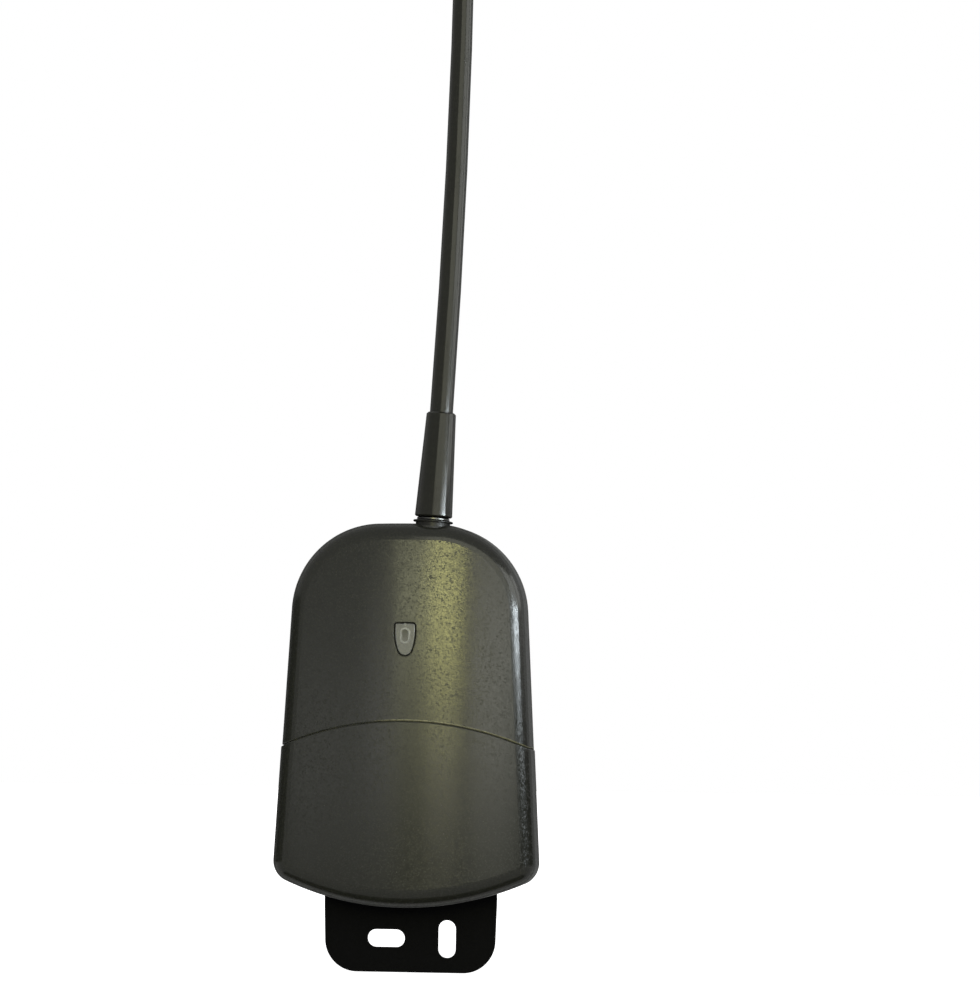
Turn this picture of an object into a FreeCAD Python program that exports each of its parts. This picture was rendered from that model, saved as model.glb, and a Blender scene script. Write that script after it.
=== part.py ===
import FreeCAD, Part
import math
import os
import Sketcher

# Gate opener receiver: a wall-mounted weatherproof radio receiver with a whip antenna.
# Millimetres, +Z up, front towards -Y. The origin lies on the bracket's wall face,
# on the housing's centre line, at the height of the two mounting slots.

Vector = FreeCAD.Vector

SIZES = {
    # housing outline seen from the front
    "housing_bottom": 12.7,
    "housing_height": 140.6,
    "half_width": 48.15,
    "widest_level": 29.6,
    "side_taper": 3.06,
    "crown_radius": 390,
    "shoulder_radius": 33.5,
    "corner_radius": 8.2,
    "rim_radius": 107.5,
    # housing depth, measured from the wall
    "plate_thickness": 2,
    "back_depth": 12,
    "parting_gap": 0.4,
    "housing_depth": 40,
    "face_radius": 200,
    "edge_radius": 6.3,
    "draft_angle": 2,
    "back_draft": 4,
    "back_edge_radius": 2,
    "wall": 2.4,
    "floor": 2.5,
    # lower cover and the seam above it
    "cover_proud": 0.35,
    "cover_wall": 2.2,
    "seam_height": 80.5,
    "seam_radius": 113,
    "seam_gap": 0.32,
    "seam_rounding": 0.3,
    "lip_depth": 4,
    "lip_rise": 3,
    "lip_thickness": 1.4,
    "lip_clearance": 0.4,
    # guide rails of the back shell and the cover's ledges that ride on them
    "rail_x": 36,
    "rail_bottom": 23,
    "rail_top": 62,
    "rail_web": 2,
    "rail_wing": 5.5,
    "rail_wing_thickness": 1.5,
    "rail_front": 22,
    "ledge_bottom": 26,
    "ledge_top": 44,
    "ledge_thickness": 1.5,
    "rail_clearance": 0.3,
    # gasket
    "gasket_inset": 0.7,
    "gasket_width": 1.1,
    "gasket_groove": 1,
    "gasket_end": 84,
    # badge insert
    "badge_level": 110.1,
    "badge_top_radius": 0.7,
    "badge_top_half": 2.77,
    "badge_side_radius": 19.4,
    "badge_bottom_radius": 2.5,
    "badge_height": 11.4,
    "badge_gap": 0.55,
    "badge_edge_radius": 0.3,
    "badge_depth": 1.5,
    "badge_sink": 0.1,
    "badge_ring_half": 1.75,
    "badge_ring_height": 5.7,
    "badge_ring_width": 0.5,
    "badge_ring_rise": 0.25,
    "badge_ring_drop": 1.5,
    "badge_nub_drop": 0.15,
    "badge_nub_radius": 0.4,
    # bracket
    "plate_top": 66,
    "plate_bottom": 12.5,
    "plate_half_width": 32.2,
    "plate_taper_level": 13,
    "plate_taper": 0.8,
    "plate_corner": 12,
    "plate_top_corner": 6,
    "plate_edge_radius": 0.5,
    "slot_length": 14,
    "slot_width": 6.6,
    "slot_left_x": 8.9,
    "slot_right_x": 13.8,
    # housing screws
    "upper_boss_x": 30,
    "upper_boss_level": 135,
    "lower_boss_x": 36.5,
    "lower_boss_level": 93,
    "boss_radius": 3.6,
    "housing_screw_radius": 1.5,
    "housing_screw_length": 20,
    "housing_head_radius": 2.8,
    "housing_head_height": 1.8,
    "housing_head_sink": 1.2,
    "screw_clearance": 0.05,
    "screw_end_room": 2,
    "head_clearance": 0.3,
    "cross_depth": 0.9,
    # bracket screws
    "bracket_screw_x": 22,
    "bracket_screw_low": 27,
    "bracket_screw_high": 56,
    "bracket_boss_radius": 3.4,
    "bracket_boss_height": 5,
    "bracket_screw_radius": 1.4,
    "bracket_screw_length": 7,
    "bracket_head_radius": 2.9,
    "bracket_head_height": 1.5,
    "bracket_head_sink": 0.1,
    "bracket_hole_play": 0.2,
    # cable inlet
    "inlet_depth": 8,
    "inlet_spot": 0.8,
    "inlet_wall": 1.65,
    "inlet_slot_half": 3.6,
    "inlet_bore_radius": 2.5,
    "inlet_flange_radius": 4.7,
    "inlet_flange_height": 1.2,
    "inlet_flange_edge": 0.4,
    "inlet_play": 0.3,
    # circuit board
    "board_half_width": 31,
    "board_bottom": 34,
    "board_top": 126,
    "board_thickness": 1.6,
    "board_corner": 5,
    "post_height": 6,
    "post_radius": 3.2,
    "post_x": 27,
    "post_low": 39,
    "post_high": 120,
    "board_hole_radius": 1.7,
    "board_screw_radius": 1.4,
    "board_screw_length": 6,
    "board_head_radius": 2.7,
    "board_head_height": 1.7,
    # antenna, along its own leaning axis from its seat on the housing
    "antenna_x": 8.75,
    "antenna_depth": 31.6,
    "antenna_seat": 150.9,
    "antenna_lean": 3.5,
    "antenna_bend": 3.1,
    "antenna_boss_radius": 5.6,
    "antenna_boss_depth": 3,
    "collar_radius": 6.3,
    "collar_height": 1.4,
    "collar_play": 0.25,
    "seal_thickness": 0.8,
    "brim_radius": 7.3,
    "brim_thickness": 0.7,
    "brim_bevel": 0.25,
    "barrel_radius": 3,
    "barrel_length": 7.5,
    "barrel_clearance": 0.15,
    "barrel_chamfer": 0.4,
    "nut_flats": 8,
    "nut_thickness": 2.5,
    "nut_gap": 0.1,
    "ring_radius": 6,
    "ring_height": 1.1,
    "ring_chamfer": 0.3,
    "stud_radius": 1.5,
    "stud_inset": 3,
    "stud_reach": 7,
    "stud_end_room": 0.2,
    "sleeve_gap": 0.3,
    "sleeve_length": 38.4,
    "sleeve_bottom_radius": 6.85,
    "sleeve_top_radius": 5.4,
    "sleeve_chamfer": 0.6,
    "sleeve_foot_chamfer": 0.4,
    "sleeve_clearance": 0.05,
    "whip_length": 223,
    "whip_radius": 4.25,
    "whip_tip_radius": 3.75,
    "lead_radius": 0.9,
    "lead_gap": 0.1,
    "lead_end_inset": 3,
    "lead_rise": 9,
    "lead_drop": 8,
    # parts on the circuit board
    "terminal_pitch": 5.08,
    "terminal_ways": 6,
    "terminal_level": 42,
    "terminal_depth": 10,
    "terminal_height": 12,
    "terminal_step": 4,
    "terminal_bevel": 2.4,
    "terminal_foot": 2,
    "terminal_screw_radius": 1.6,
    "terminal_screw_height": 1.8,
    "terminal_screw_play": 0.1,
    "terminal_well": 3,
    "terminal_slot": 0.6,
    "terminal_slot_depth": 0.8,
    "terminal_wire_radius": 1.3,
    "terminal_wire_depth": 4,
    "terminal_wire_hole": 4,
    "relay_width": 15.5,
    "relay_length": 19,
    "relay_height": 15.4,
    "relay_level": 72,
    "relay_one_x": 21,
    "relay_two_x": 3,
    "relay_edge": 0.8,
    "button_x": 22,
    "control_level": 54,
    "button_body": 6,
    "button_body_height": 3.6,
    "button_floor": 1.2,
    "button_radius": 1.75,
    "button_height": 6.5,
    "button_travel": 0.4,
    "button_rest": 0.2,
    "button_clearance": 0.08,
    "button_chamfer": 0.3,
    "lamp_x": 13.5,
    "lamp_radius": 1.5,
    "lamp_height": 5,
    "lamp_flange": 0.3,
    "lamp_flange_height": 1,
    "switch_x": 3,
    "switch_width": 7.1,
    "switch_length": 6.4,
    "switch_height": 3.4,
    "switch_pitch": 2.54,
    "lever_width": 1,
    "lever_length": 1.3,
    "lever_sink": 1.1,
    "lever_rise": 0.6,
    "lever_travel": 1.5,
    "lever_clearance": 0.1,
    "capacitor_x": 21,
    "capacitor_radius": 5,
    "capacitor_height": 14,
    "capacitor_groove": 0.5,
    "capacitor_groove_level": 1.2,
    "capacitor_groove_width": 1.4,
    "capacitor_rim": 0.5,
    "capacitor_top_sink": 0.25,
    "chip_x": 6,
    "chip_level": 91,
    "chip_length": 23,
    "chip_width": 6.4,
    "chip_height": 3.4,
    "chip_standoff": 0.5,
    "chip_notch_radius": 0.9,
    "chip_notch_depth": 0.6,
    "chip_pins": 9,
    "chip_pin_width": 0.6,
    "chip_pin_height": 2,
    "chip_pin_reach": 0.8,
    "chip_pin_root": 0.2,
    "regulator_x": 20,
    "regulator_level": 93,
    "regulator_width": 10,
    "regulator_case_length": 9,
    "regulator_case_height": 4.4,
    "regulator_tab_length": 15,
    "regulator_tab_height": 1.3,
    "regulator_hole_radius": 1.8,
    "regulator_hole_inset": 3,
    "regulator_leg_pitch": 2.54,
    "regulator_leg_width": 0.8,
    "regulator_leg_height": 2.2,
    "regulator_leg_length": 4,
    "module_x": 2,
    "module_level": 110,
    "module_length": 30,
    "module_width": 14,
    "module_rise": 2.6,
    "module_board": 1.2,
    "module_pins": 8,
    "module_pin_inset": 2,
    "module_pin_pitch": 3.7,
    "module_pin_width": 0.7,
    "can_length": 13,
    "can_inset": 3,
    "can_height": 3,
}


class Amount:
    """A size together with the sheet formula that gives it."""

    def __init__(self, value, formula):
        self.value = value
        self.formula = formula

    def __add__(self, other):
        other = amount(other)
        return Amount(self.value + other.value, f"({self.formula} + {other.formula})")

    def __sub__(self, other):
        other = amount(other)
        return Amount(self.value - other.value, f"({self.formula} - {other.formula})")

    def __mul__(self, other):
        other = amount(other)
        return Amount(self.value * other.value, f"({self.formula} * {other.formula})")

    def __truediv__(self, other):
        other = amount(other)
        return Amount(self.value / other.value, f"({self.formula} / {other.formula})")

    def __radd__(self, other):
        return amount(other) + self

    def __rsub__(self, other):
        return amount(other) - self

    def __rmul__(self, other):
        return amount(other) * self

    def __neg__(self):
        return Amount(-self.value, f"(0 - {self.formula})")


def amount(value):
    if isinstance(value, Amount):
        return value
    return Amount(value, f"({value})")


def sine(angle):
    return Amount(math.sin(math.radians(angle.value)), f"sin({angle.formula})")


def cosine(angle):
    return Amount(math.cos(math.radians(angle.value)), f"cos({angle.formula})")


def tangent(angle):
    return Amount(math.tan(math.radians(angle.value)), f"tan({angle.formula})")


def root(square):
    return Amount(math.sqrt(square.value), f"sqrt({square.formula})")


doc = FreeCAD.newDocument("gate_receiver")
sheet = doc.addObject("Spreadsheet::Sheet", "sizes")
for row, (alias, number) in enumerate(SIZES.items(), start=1):
    sheet.set(f"A{row}", alias)
    sheet.set(f"B{row}", str(number))
    sheet.setAlias(f"B{row}", alias)
doc.recompute()


class Sizes:
    """Every size of the sheet by its name."""

    def __getattr__(self, alias):
        return Amount(SIZES[alias], f"sizes.{alias}")


s = Sizes()

# Levels that several pieces share, measured towards the front from the wall
PLATE_FRONT = s.plate_thickness
FLOOR_FRONT = PLATE_FRONT + s.floor
PARTING = PLATE_FRONT + s.back_depth
SHELL_REAR = PARTING + s.parting_gap
BOARD_REAR = FLOOR_FRONT + s.post_height
BOARD_FRONT = BOARD_REAR + s.board_thickness
HOUSING_TOP = s.housing_bottom + s.housing_height
# How far a cutting tool runs past the face that it opens, and how far a blank runs past everything
PAST = amount(1)
BEYOND = amount(80)


# Sketching and solid helpers

def bind(thing, path, value):
    thing.setExpression(path, amount(value).formula)


def dimension(sketch, kind, *references, value):
    value = amount(value)
    number = math.radians(value.value) if kind == "Angle" else value.value
    index = sketch.addConstraint(Sketcher.Constraint(kind, *references, number))
    sketch.renameConstraint(index, f"size{index}")
    sketch.setExpression(f"Constraints.size{index}", value.formula)


def new_body(name):
    return doc.addObject("PartDesign::Body", name)


def new_sketch(body, name, role, offset=0):
    sketch = body.newObject("Sketcher::SketchObject", name)
    plane = [item for item in body.Origin.OriginFeatures if item.Role == role][0]
    sketch.AttachmentSupport = [(plane, "")]
    sketch.MapMode = "FlatFace"
    bind(sketch, ".AttachmentOffset.Base.z", offset)
    return sketch


def line(x0, y0, x1, y1):
    return Part.LineSegment(Vector(x0, y0, 0), Vector(x1, y1, 0))


def arc(x, y, radius, start, end):
    return Part.ArcOfCircle(Part.Circle(Vector(x, y, 0), Vector(0, 0, 1), radius), start, end)


def polygon(sketch, corners):
    """A closed outline with each corner at its named place."""
    corners = [(amount(x), amount(y)) for x, y in corners]
    count = len(corners)
    first = sketch.GeometryCount
    for index, (x, y) in enumerate(corners):
        x_next, y_next = corners[(index + 1) % count]
        sketch.addGeometry(line(x.value, y.value, x_next.value, y_next.value), False)
    for index, (x, y) in enumerate(corners):
        edge = first + index
        sketch.addConstraint(Sketcher.Constraint("Coincident", edge, 2, first + (index + 1) % count, 1))
        dimension(sketch, "DistanceX", -1, 1, edge, 1, value=x)
        dimension(sketch, "DistanceY", -1, 1, edge, 1, value=y)


def pad(body, sketch, length):
    feature = body.newObject("PartDesign::Pad", sketch.Name + "_pad")
    feature.Profile = sketch
    bind(feature, "Length", length)
    return feature


def revolve(name, corners):
    """A turned piece about its own Z axis, from corners given as radius and height."""
    body = new_body(name)
    sketch = new_sketch(body, name + "_profile", "XZ_Plane")
    polygon(sketch, corners)
    turned = body.newObject("PartDesign::Revolution", name + "_turned")
    turned.Profile = sketch
    turned.ReferenceAxis = (sketch, ["V_Axis"])
    turned.Angle = 360
    return body


def place(thing, x, y, z):
    bind(thing, ".Placement.Base.x", x)
    bind(thing, ".Placement.Base.y", y)
    bind(thing, ".Placement.Base.z", z)
    return thing


def box(name, x, y, z, length, width, height):
    """A block from its lowest corner."""
    solid = doc.addObject("Part::Box", name)
    bind(solid, "Length", length)
    bind(solid, "Width", width)
    bind(solid, "Height", height)
    return place(solid, x, y, z)


def peg(name, x, y, z, radius, length, direction="front"):
    """A round bar that starts at a point and runs to the front, or up."""
    solid = doc.addObject("Part::Cylinder", name)
    bind(solid, "Radius", radius)
    bind(solid, "Height", length)
    if direction == "front":
        solid.Placement = FreeCAD.Placement(Vector(), FreeCAD.Rotation(Vector(1, 0, 0), 90))
    return place(solid, x, y, z)


def cone(name, x, y, z, rear_radius, front_radius, length):
    solid = doc.addObject("Part::Cone", name)
    bind(solid, "Radius1", rear_radius)
    bind(solid, "Radius2", front_radius)
    bind(solid, "Height", length)
    solid.Placement = FreeCAD.Placement(Vector(), FreeCAD.Rotation(Vector(1, 0, 0), 90))
    return place(solid, x, y, z)


def fuse(name, *solids):
    result = doc.addObject("Part::MultiFuse", name)
    result.Shapes = list(solids)
    result.Refine = True
    return result


def common(name, first, second):
    result = doc.addObject("Part::MultiCommon", name)
    result.Shapes = [first, second]
    return result


def cut(name, base, *tools):
    for index, tool in enumerate(tools):
        last = index == len(tools) - 1
        result = doc.addObject("Part::Cut", name if last else f"{name}_step{index}")
        result.Base = base
        result.Tool = tool
        base = result
    base.Refine = True
    return base


def group(name, solids):
    result = doc.addObject("Part::Compound", name)
    result.Links = list(solids)
    return result


def edges_of_face(shape, face):
    """Names of the edges round a face, for a fillet."""
    names = []
    for edge in face.OuterWire.Edges:
        for number, candidate in enumerate(shape.Edges, start=1):
            if candidate.isSame(edge):
                names.append(f"Edge{number}")
    return names


def round_edges(body, feature, names, radius):
    fillet = body.newObject("PartDesign::Fillet", feature.Name + "_round")
    fillet.Base = (feature, names)
    bind(fillet, "Radius", radius)
    return fillet


# Housing outline: a crown, two shoulders, tapering sides, two corners and a rim

def side_distance(inset):
    middle = s.half_width + s.widest_level * tangent(s.side_taper)
    return middle * cosine(s.side_taper) - inset


def arc_centre(inset, arc_radius, big_centre, big_gap, upwards):
    """Centre of an arc that touches a side line and the crown or rim."""
    taper = math.radians(s.side_taper.value)
    away = side_distance(inset).value - arc_radius
    start = Vector(math.cos(taper) * away, math.sin(taper) * away - big_centre, 0)
    along = Vector(-math.sin(taper), math.cos(taper), 0)
    slope = 2 * start.dot(along)
    rest = start.dot(start) - big_gap ** 2
    step = (-slope + upwards * math.sqrt(slope ** 2 - 4 * rest)) / 2
    centre = start + along * step
    return centre.x, centre.y + big_centre


def housing_outline(sketch, inset):
    inset = amount(inset)
    crown = s.crown_radius - inset
    shoulder = s.shoulder_radius - inset
    corner = s.corner_radius - inset
    rim = s.rim_radius - inset
    crown_centre = HOUSING_TOP - s.crown_radius
    rim_centre = s.housing_bottom + s.rim_radius
    taper = math.radians(s.side_taper.value)
    shoulder_x, shoulder_y = arc_centre(inset, shoulder.value, crown_centre.value,
                                        crown.value - shoulder.value, 1)
    corner_x, corner_y = arc_centre(inset, corner.value, rim_centre.value, rim.value - corner.value, -1)
    crown_end = math.atan2(shoulder_y - crown_centre.value, shoulder_x)
    rim_end = math.atan2(corner_y - rim_centre.value, corner_x)
    side_x, side_y = math.cos(taper), math.sin(taper)
    low = (corner_x + corner.value * side_x, corner_y + corner.value * side_y)
    high = (shoulder_x + shoulder.value * side_x, shoulder_y + shoulder.value * side_y)
    sketch.addGeometry([
        arc(0, crown_centre.value, crown.value, crown_end, math.pi - crown_end),
        arc(shoulder_x, shoulder_y, shoulder.value, taper, crown_end),
        line(low[0], low[1], high[0], high[1]),
        arc(corner_x, corner_y, corner.value, rim_end, taper),
        arc(0, rim_centre.value, rim.value, -math.pi - rim_end, rim_end),
        arc(-corner_x, corner_y, corner.value, math.pi - taper, math.pi - rim_end),
        line(-high[0], high[1], -low[0], low[1]),
        arc(-shoulder_x, shoulder_y, shoulder.value, math.pi - crown_end, math.pi - taper),
    ], False)
    joins = [(1, 2, 0, 1), (2, 2, 1, 1), (3, 2, 2, 1), (4, 2, 3, 1), (5, 2, 4, 1), (6, 2, 5, 1), (7, 2, 6, 1),
             (0, 2, 7, 1)]
    for join in joins:
        sketch.addConstraint(Sketcher.Constraint("Tangent", *join))
    for middle in (0, 4):
        sketch.addConstraint(Sketcher.Constraint("PointOnObject", middle, 3, -2))
    sketch.addConstraint(Sketcher.Constraint("Equal", 1, 7))
    sketch.addConstraint(Sketcher.Constraint("Equal", 3, 5))
    dimension(sketch, "Radius", 0, value=crown)
    dimension(sketch, "DistanceY", -1, 1, 0, 3, value=crown_centre)
    dimension(sketch, "Radius", 1, value=shoulder)
    dimension(sketch, "Radius", 3, value=corner)
    dimension(sketch, "Radius", 4, value=rim)
    dimension(sketch, "DistanceY", -1, 1, 4, 3, value=rim_centre)
    for side in (2, 6):
        dimension(sketch, "Distance", -1, 1, side, value=side_distance(inset))
    dimension(sketch, "Angle", 2, value=90 + s.side_taper)
    dimension(sketch, "Angle", 6, value=-(90 + s.side_taper))


def front_form(name, inset):
    """The drafted housing block with its crowned front and rounded front edge."""
    inset = amount(inset)
    body = new_body(name)
    sketch = new_sketch(body, name + "_outline", "XZ_Plane", SHELL_REAR)
    housing_outline(sketch, inset)
    block = pad(body, sketch, s.housing_depth)
    bind(block, "TaperAngle", -s.draft_angle)
    radius = s.face_radius - inset
    centre = s.face_radius - s.housing_depth
    half = s.half_width * 1.5
    edge = centre - root(radius * radius - half * half)
    trim = new_sketch(body, name + "_crown", "XY_Plane")
    reach = math.asin(half.value / radius.value)
    trim.addGeometry([
        arc(0, centre.value, radius.value, -math.pi / 2 - reach, -math.pi / 2 + reach),
        line(half.value, edge.value, half.value, -BEYOND.value),
        line(half.value, -BEYOND.value, -half.value, -BEYOND.value),
        line(-half.value, -BEYOND.value, -half.value, edge.value),
    ], False)
    for join in [(0, 2, 1, 1), (1, 2, 2, 1), (2, 2, 3, 1), (3, 2, 0, 1)]:
        trim.addConstraint(Sketcher.Constraint("Coincident", *join))
    trim.addConstraint(Sketcher.Constraint("PointOnObject", 0, 3, -2))
    dimension(trim, "Radius", 0, value=radius)
    dimension(trim, "DistanceY", -1, 1, 0, 3, value=centre)
    dimension(trim, "DistanceX", -1, 1, 1, 1, value=half)
    dimension(trim, "DistanceX", -1, 1, 3, 2, value=-half)
    dimension(trim, "DistanceX", -1, 1, 1, 2, value=half)
    dimension(trim, "DistanceX", -1, 1, 2, 2, value=-half)
    dimension(trim, "DistanceY", -1, 1, 1, 2, value=-BEYOND)
    dimension(trim, "DistanceY", -1, 1, 2, 2, value=-BEYOND)
    crowned = body.newObject("PartDesign::Pocket", name + "_crowned")
    crowned.Profile = trim
    crowned.Type = "ThroughAll"
    crowned.Midplane = True
    doc.recompute()
    front = [face for face in crowned.Shape.Faces
             if isinstance(face.Surface, Part.Cylinder) and abs(face.Surface.Radius - radius.value) < 0.001][0]
    round_edges(body, crowned, edges_of_face(crowned.Shape, front), s.edge_radius - inset)
    return body


def rear_form(name, inset, start, end):
    """The drafted rear tray block between two depths from the wall."""
    body = new_body(name)
    sketch = new_sketch(body, name + "_outline", "XZ_Plane", end)
    housing_outline(sketch, inset)
    block = pad(body, sketch, end - start)
    block.Reversed = True
    bind(block, "TaperAngle", -s.back_draft)
    return body


def under_seam(name, drop):
    """Everything below the seam's arc, lowered by a given amount."""
    drop = amount(drop)
    body = new_body(name)
    sketch = new_sketch(body, name + "_outline", "XZ_Plane")
    centre = s.seam_height - drop - s.seam_radius
    half = s.half_width + 12
    edge = centre + root(s.seam_radius * s.seam_radius - half * half)
    reach = math.acos(half.value / s.seam_radius.value)
    sketch.addGeometry([
        arc(0, centre.value, s.seam_radius.value, reach, math.pi - reach),
        line(-half.value, edge.value, -half.value, -BEYOND.value),
        line(-half.value, -BEYOND.value, half.value, -BEYOND.value),
        line(half.value, -BEYOND.value, half.value, edge.value),
    ], False)
    for join in [(0, 2, 1, 1), (1, 2, 2, 1), (2, 2, 3, 1), (3, 2, 0, 1)]:
        sketch.addConstraint(Sketcher.Constraint("Coincident", *join))
    sketch.addConstraint(Sketcher.Constraint("PointOnObject", 0, 3, -2))
    dimension(sketch, "Radius", 0, value=s.seam_radius)
    dimension(sketch, "DistanceY", -1, 1, 0, 3, value=centre)
    dimension(sketch, "DistanceX", -1, 1, 1, 1, value=-half)
    dimension(sketch, "DistanceX", -1, 1, 1, 2, value=-half)
    dimension(sketch, "DistanceX", -1, 1, 3, 1, value=half)
    dimension(sketch, "DistanceX", -1, 1, 3, 2, value=half)
    dimension(sketch, "DistanceY", -1, 1, 1, 2, value=-BEYOND)
    dimension(sketch, "DistanceY", -1, 1, 3, 1, value=-BEYOND)
    pad(body, sketch, BEYOND)
    return body


def round_seam(name, base, outer):
    """Rounds the seam's edge where it meets the outer surface."""
    doc.recompute()
    skin = outer.Shape.Shells[0]
    radius = SIZES["seam_rounding"]
    edges = []
    for face in base.Shape.Faces:
        if not isinstance(face.Surface, Part.Cylinder):
            continue
        if abs(face.Surface.Radius - SIZES["seam_radius"]) > 0.001:
            continue
        for edge in face.Edges:
            middle = edge.valueAt((edge.FirstParameter + edge.LastParameter) / 2)
            rear = middle.y > -SHELL_REAR.value - 0.01
            if skin.distToShape(Part.Vertex(middle))[0] > 0.01 or rear:
                continue
            for number, candidate in enumerate(base.Shape.Edges, start=1):
                if candidate.isSame(edge):
                    edges.append((number, radius, radius))
    rounded = doc.addObject("Part::Fillet", name)
    rounded.Base = base
    rounded.Edges = edges
    return rounded


# Shield outline of the badge: a flat top, two small corners, bulging sides and a round foot

def shield_outline(sketch, gap):
    gap = amount(gap)
    corner = s.badge_top_radius + gap
    side = s.badge_side_radius + gap
    foot = s.badge_bottom_radius + gap
    top = s.badge_level + s.badge_height / 2 - s.badge_top_radius
    bottom = s.badge_level - s.badge_height / 2 + s.badge_bottom_radius
    x, y, low = s.badge_top_half.value, top.value, bottom.value
    span = math.hypot(x, y - low)
    far, near = (side - foot).value, (side - corner).value
    along = (far * far - near * near + span * span) / (2 * span)
    across = math.sqrt(far * far - along * along)
    step_x, step_y = x / span, (y - low) / span
    side_x = along * step_x - across * step_y
    side_y = low + along * step_y + across * step_x
    upper = math.atan2(y - side_y, x - side_x)
    lower = math.atan2(low - side_y, -side_x)
    sketch.addGeometry([
        line(x, y + corner.value, -x, y + corner.value),
        arc(-x, y, corner.value, math.pi / 2, math.pi - upper),
        arc(-side_x, side_y, side.value, math.pi - upper, math.pi - lower),
        arc(0, low, foot.value, math.pi - lower, 2 * math.pi + lower),
        arc(side_x, side_y, side.value, lower, upper),
        arc(x, y, corner.value, upper, math.pi / 2),
    ], False)
    joins = [(0, 2, 1, 1), (1, 2, 2, 1), (2, 2, 3, 1), (3, 2, 4, 1), (4, 2, 5, 1), (5, 2, 0, 1)]
    for join in joins:
        sketch.addConstraint(Sketcher.Constraint("Tangent", *join))
    sketch.addConstraint(Sketcher.Constraint("PointOnObject", 3, 3, -2))
    for index in (1, 5):
        dimension(sketch, "Radius", index, value=corner)
    for index in (2, 4):
        dimension(sketch, "Radius", index, value=side)
    dimension(sketch, "Radius", 3, value=foot)
    dimension(sketch, "DistanceY", -1, 1, 3, 3, value=bottom)
    dimension(sketch, "DistanceX", -1, 1, 5, 3, value=s.badge_top_half)
    dimension(sketch, "DistanceY", -1, 1, 5, 3, value=top)
    dimension(sketch, "DistanceX", -1, 1, 1, 3, value=-s.badge_top_half)


def shield(name, gap, start, thickness, rounding=None):
    body = new_body(name)
    sketch = new_sketch(body, name + "_outline", "XZ_Plane", start)
    shield_outline(sketch, gap)
    block = pad(body, sketch, thickness)
    if rounding is not None:
        doc.recompute()
        front = min(block.Shape.Faces, key=lambda face: face.CenterOfMass.y)
        round_edges(body, block, edges_of_face(block.Shape, front), rounding)
    return body


def badge_insert():
    front = s.housing_depth - s.badge_sink
    thickness = s.badge_depth - s.badge_sink
    blank = shield("badge_blank", 0, s.housing_depth - s.badge_depth, thickness, s.badge_edge_radius)
    ring = new_body("badge_ring")
    sketch = new_sketch(ring, "badge_ring_outline", "XZ_Plane", front)
    half = s.badge_ring_half
    straight = s.badge_ring_height - 2 * half
    centre = s.badge_level + s.badge_height / 2 - s.badge_ring_height / 2 - s.badge_ring_drop
    for radius in (half, half - s.badge_ring_width):
        stadium(sketch, 0, centre, straight, radius, upright=True)
    pad(ring, sketch, s.badge_ring_rise)
    nub = peg("badge_nub", 0, s.badge_depth - s.housing_depth,
              s.badge_level + s.badge_height / 2 - s.badge_nub_drop, s.badge_nub_radius, thickness + s.badge_ring_rise)
    fuse("badge_insert", blank, ring, nub)


def stadium(sketch, x, y, straight, radius, upright):
    """A slot outline: two half circles joined by two straight sides."""
    x, y, straight, radius = amount(x), amount(y), amount(straight), amount(radius)
    reach_x = amount(0) if upright else straight / 2
    reach_y = straight / 2 if upright else amount(0)
    turn = 0 if upright else -math.pi / 2
    side = Vector(math.cos(turn), math.sin(turn), 0) * radius.value
    first = Vector(x.value + reach_x.value, y.value + reach_y.value, 0)
    second = Vector(x.value - reach_x.value, y.value - reach_y.value, 0)
    start = sketch.GeometryCount
    sketch.addGeometry([
        arc(first.x, first.y, radius.value, turn, turn + math.pi),
        Part.LineSegment(first - side, second - side),
        arc(second.x, second.y, radius.value, turn + math.pi, turn + 2 * math.pi),
        Part.LineSegment(second + side, first + side),
    ], False)
    for join in [(0, 2, 1, 1), (1, 2, 2, 1), (2, 2, 3, 1), (3, 2, 0, 1)]:
        sketch.addConstraint(Sketcher.Constraint("Tangent", start + join[0], join[1], start + join[2], join[3]))
    dimension(sketch, "Radius", start, value=radius)
    for index, sign in ((start, 1), (start + 2, -1)):
        dimension(sketch, "DistanceX", -1, 1, index, 3, value=x + sign * reach_x)
        dimension(sketch, "DistanceY", -1, 1, index, 3, value=y + sign * reach_y)


# Antenna frame: its seat on the housing's top and its lean to the right

def on_antenna(thing):
    thing.Placement = FreeCAD.Placement(Vector(), FreeCAD.Rotation(Vector(0, 1, 0), 1))
    bind(thing, ".Placement.Rotation.Angle", s.antenna_lean)
    return place(thing, s.antenna_x, -s.antenna_depth, s.antenna_seat)


def along_antenna(name, radius, start, end):
    """A round bar on the antenna's axis between two heights above its seat."""
    start, end = amount(start), amount(end)
    bar = doc.addObject("Part::Cylinder", name)
    bind(bar, "Radius", radius)
    bind(bar, "Height", end - start)
    bar.Placement = FreeCAD.Placement(Vector(), FreeCAD.Rotation(Vector(0, 1, 0), 1))
    bind(bar, ".Placement.Rotation.Angle", s.antenna_lean)
    return place(bar, s.antenna_x + start * sine(s.antenna_lean), -s.antenna_depth,
                 s.antenna_seat + start * cosine(s.antenna_lean))


COLLAR_TOP = s.seal_thickness + s.collar_height
FLANGE_TOP = COLLAR_TOP + s.brim_thickness
RING_TOP = FLANGE_TOP + s.ring_height
SLEEVE_BOTTOM = RING_TOP + s.sleeve_gap
SLEEVE_TOP = SLEEVE_BOTTOM + s.sleeve_length


def boss_places():
    return [(side * x, level) for side in (1, -1)
            for x, level in ((s.upper_boss_x, s.upper_boss_level), (s.lower_boss_x, s.lower_boss_level))]


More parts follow.
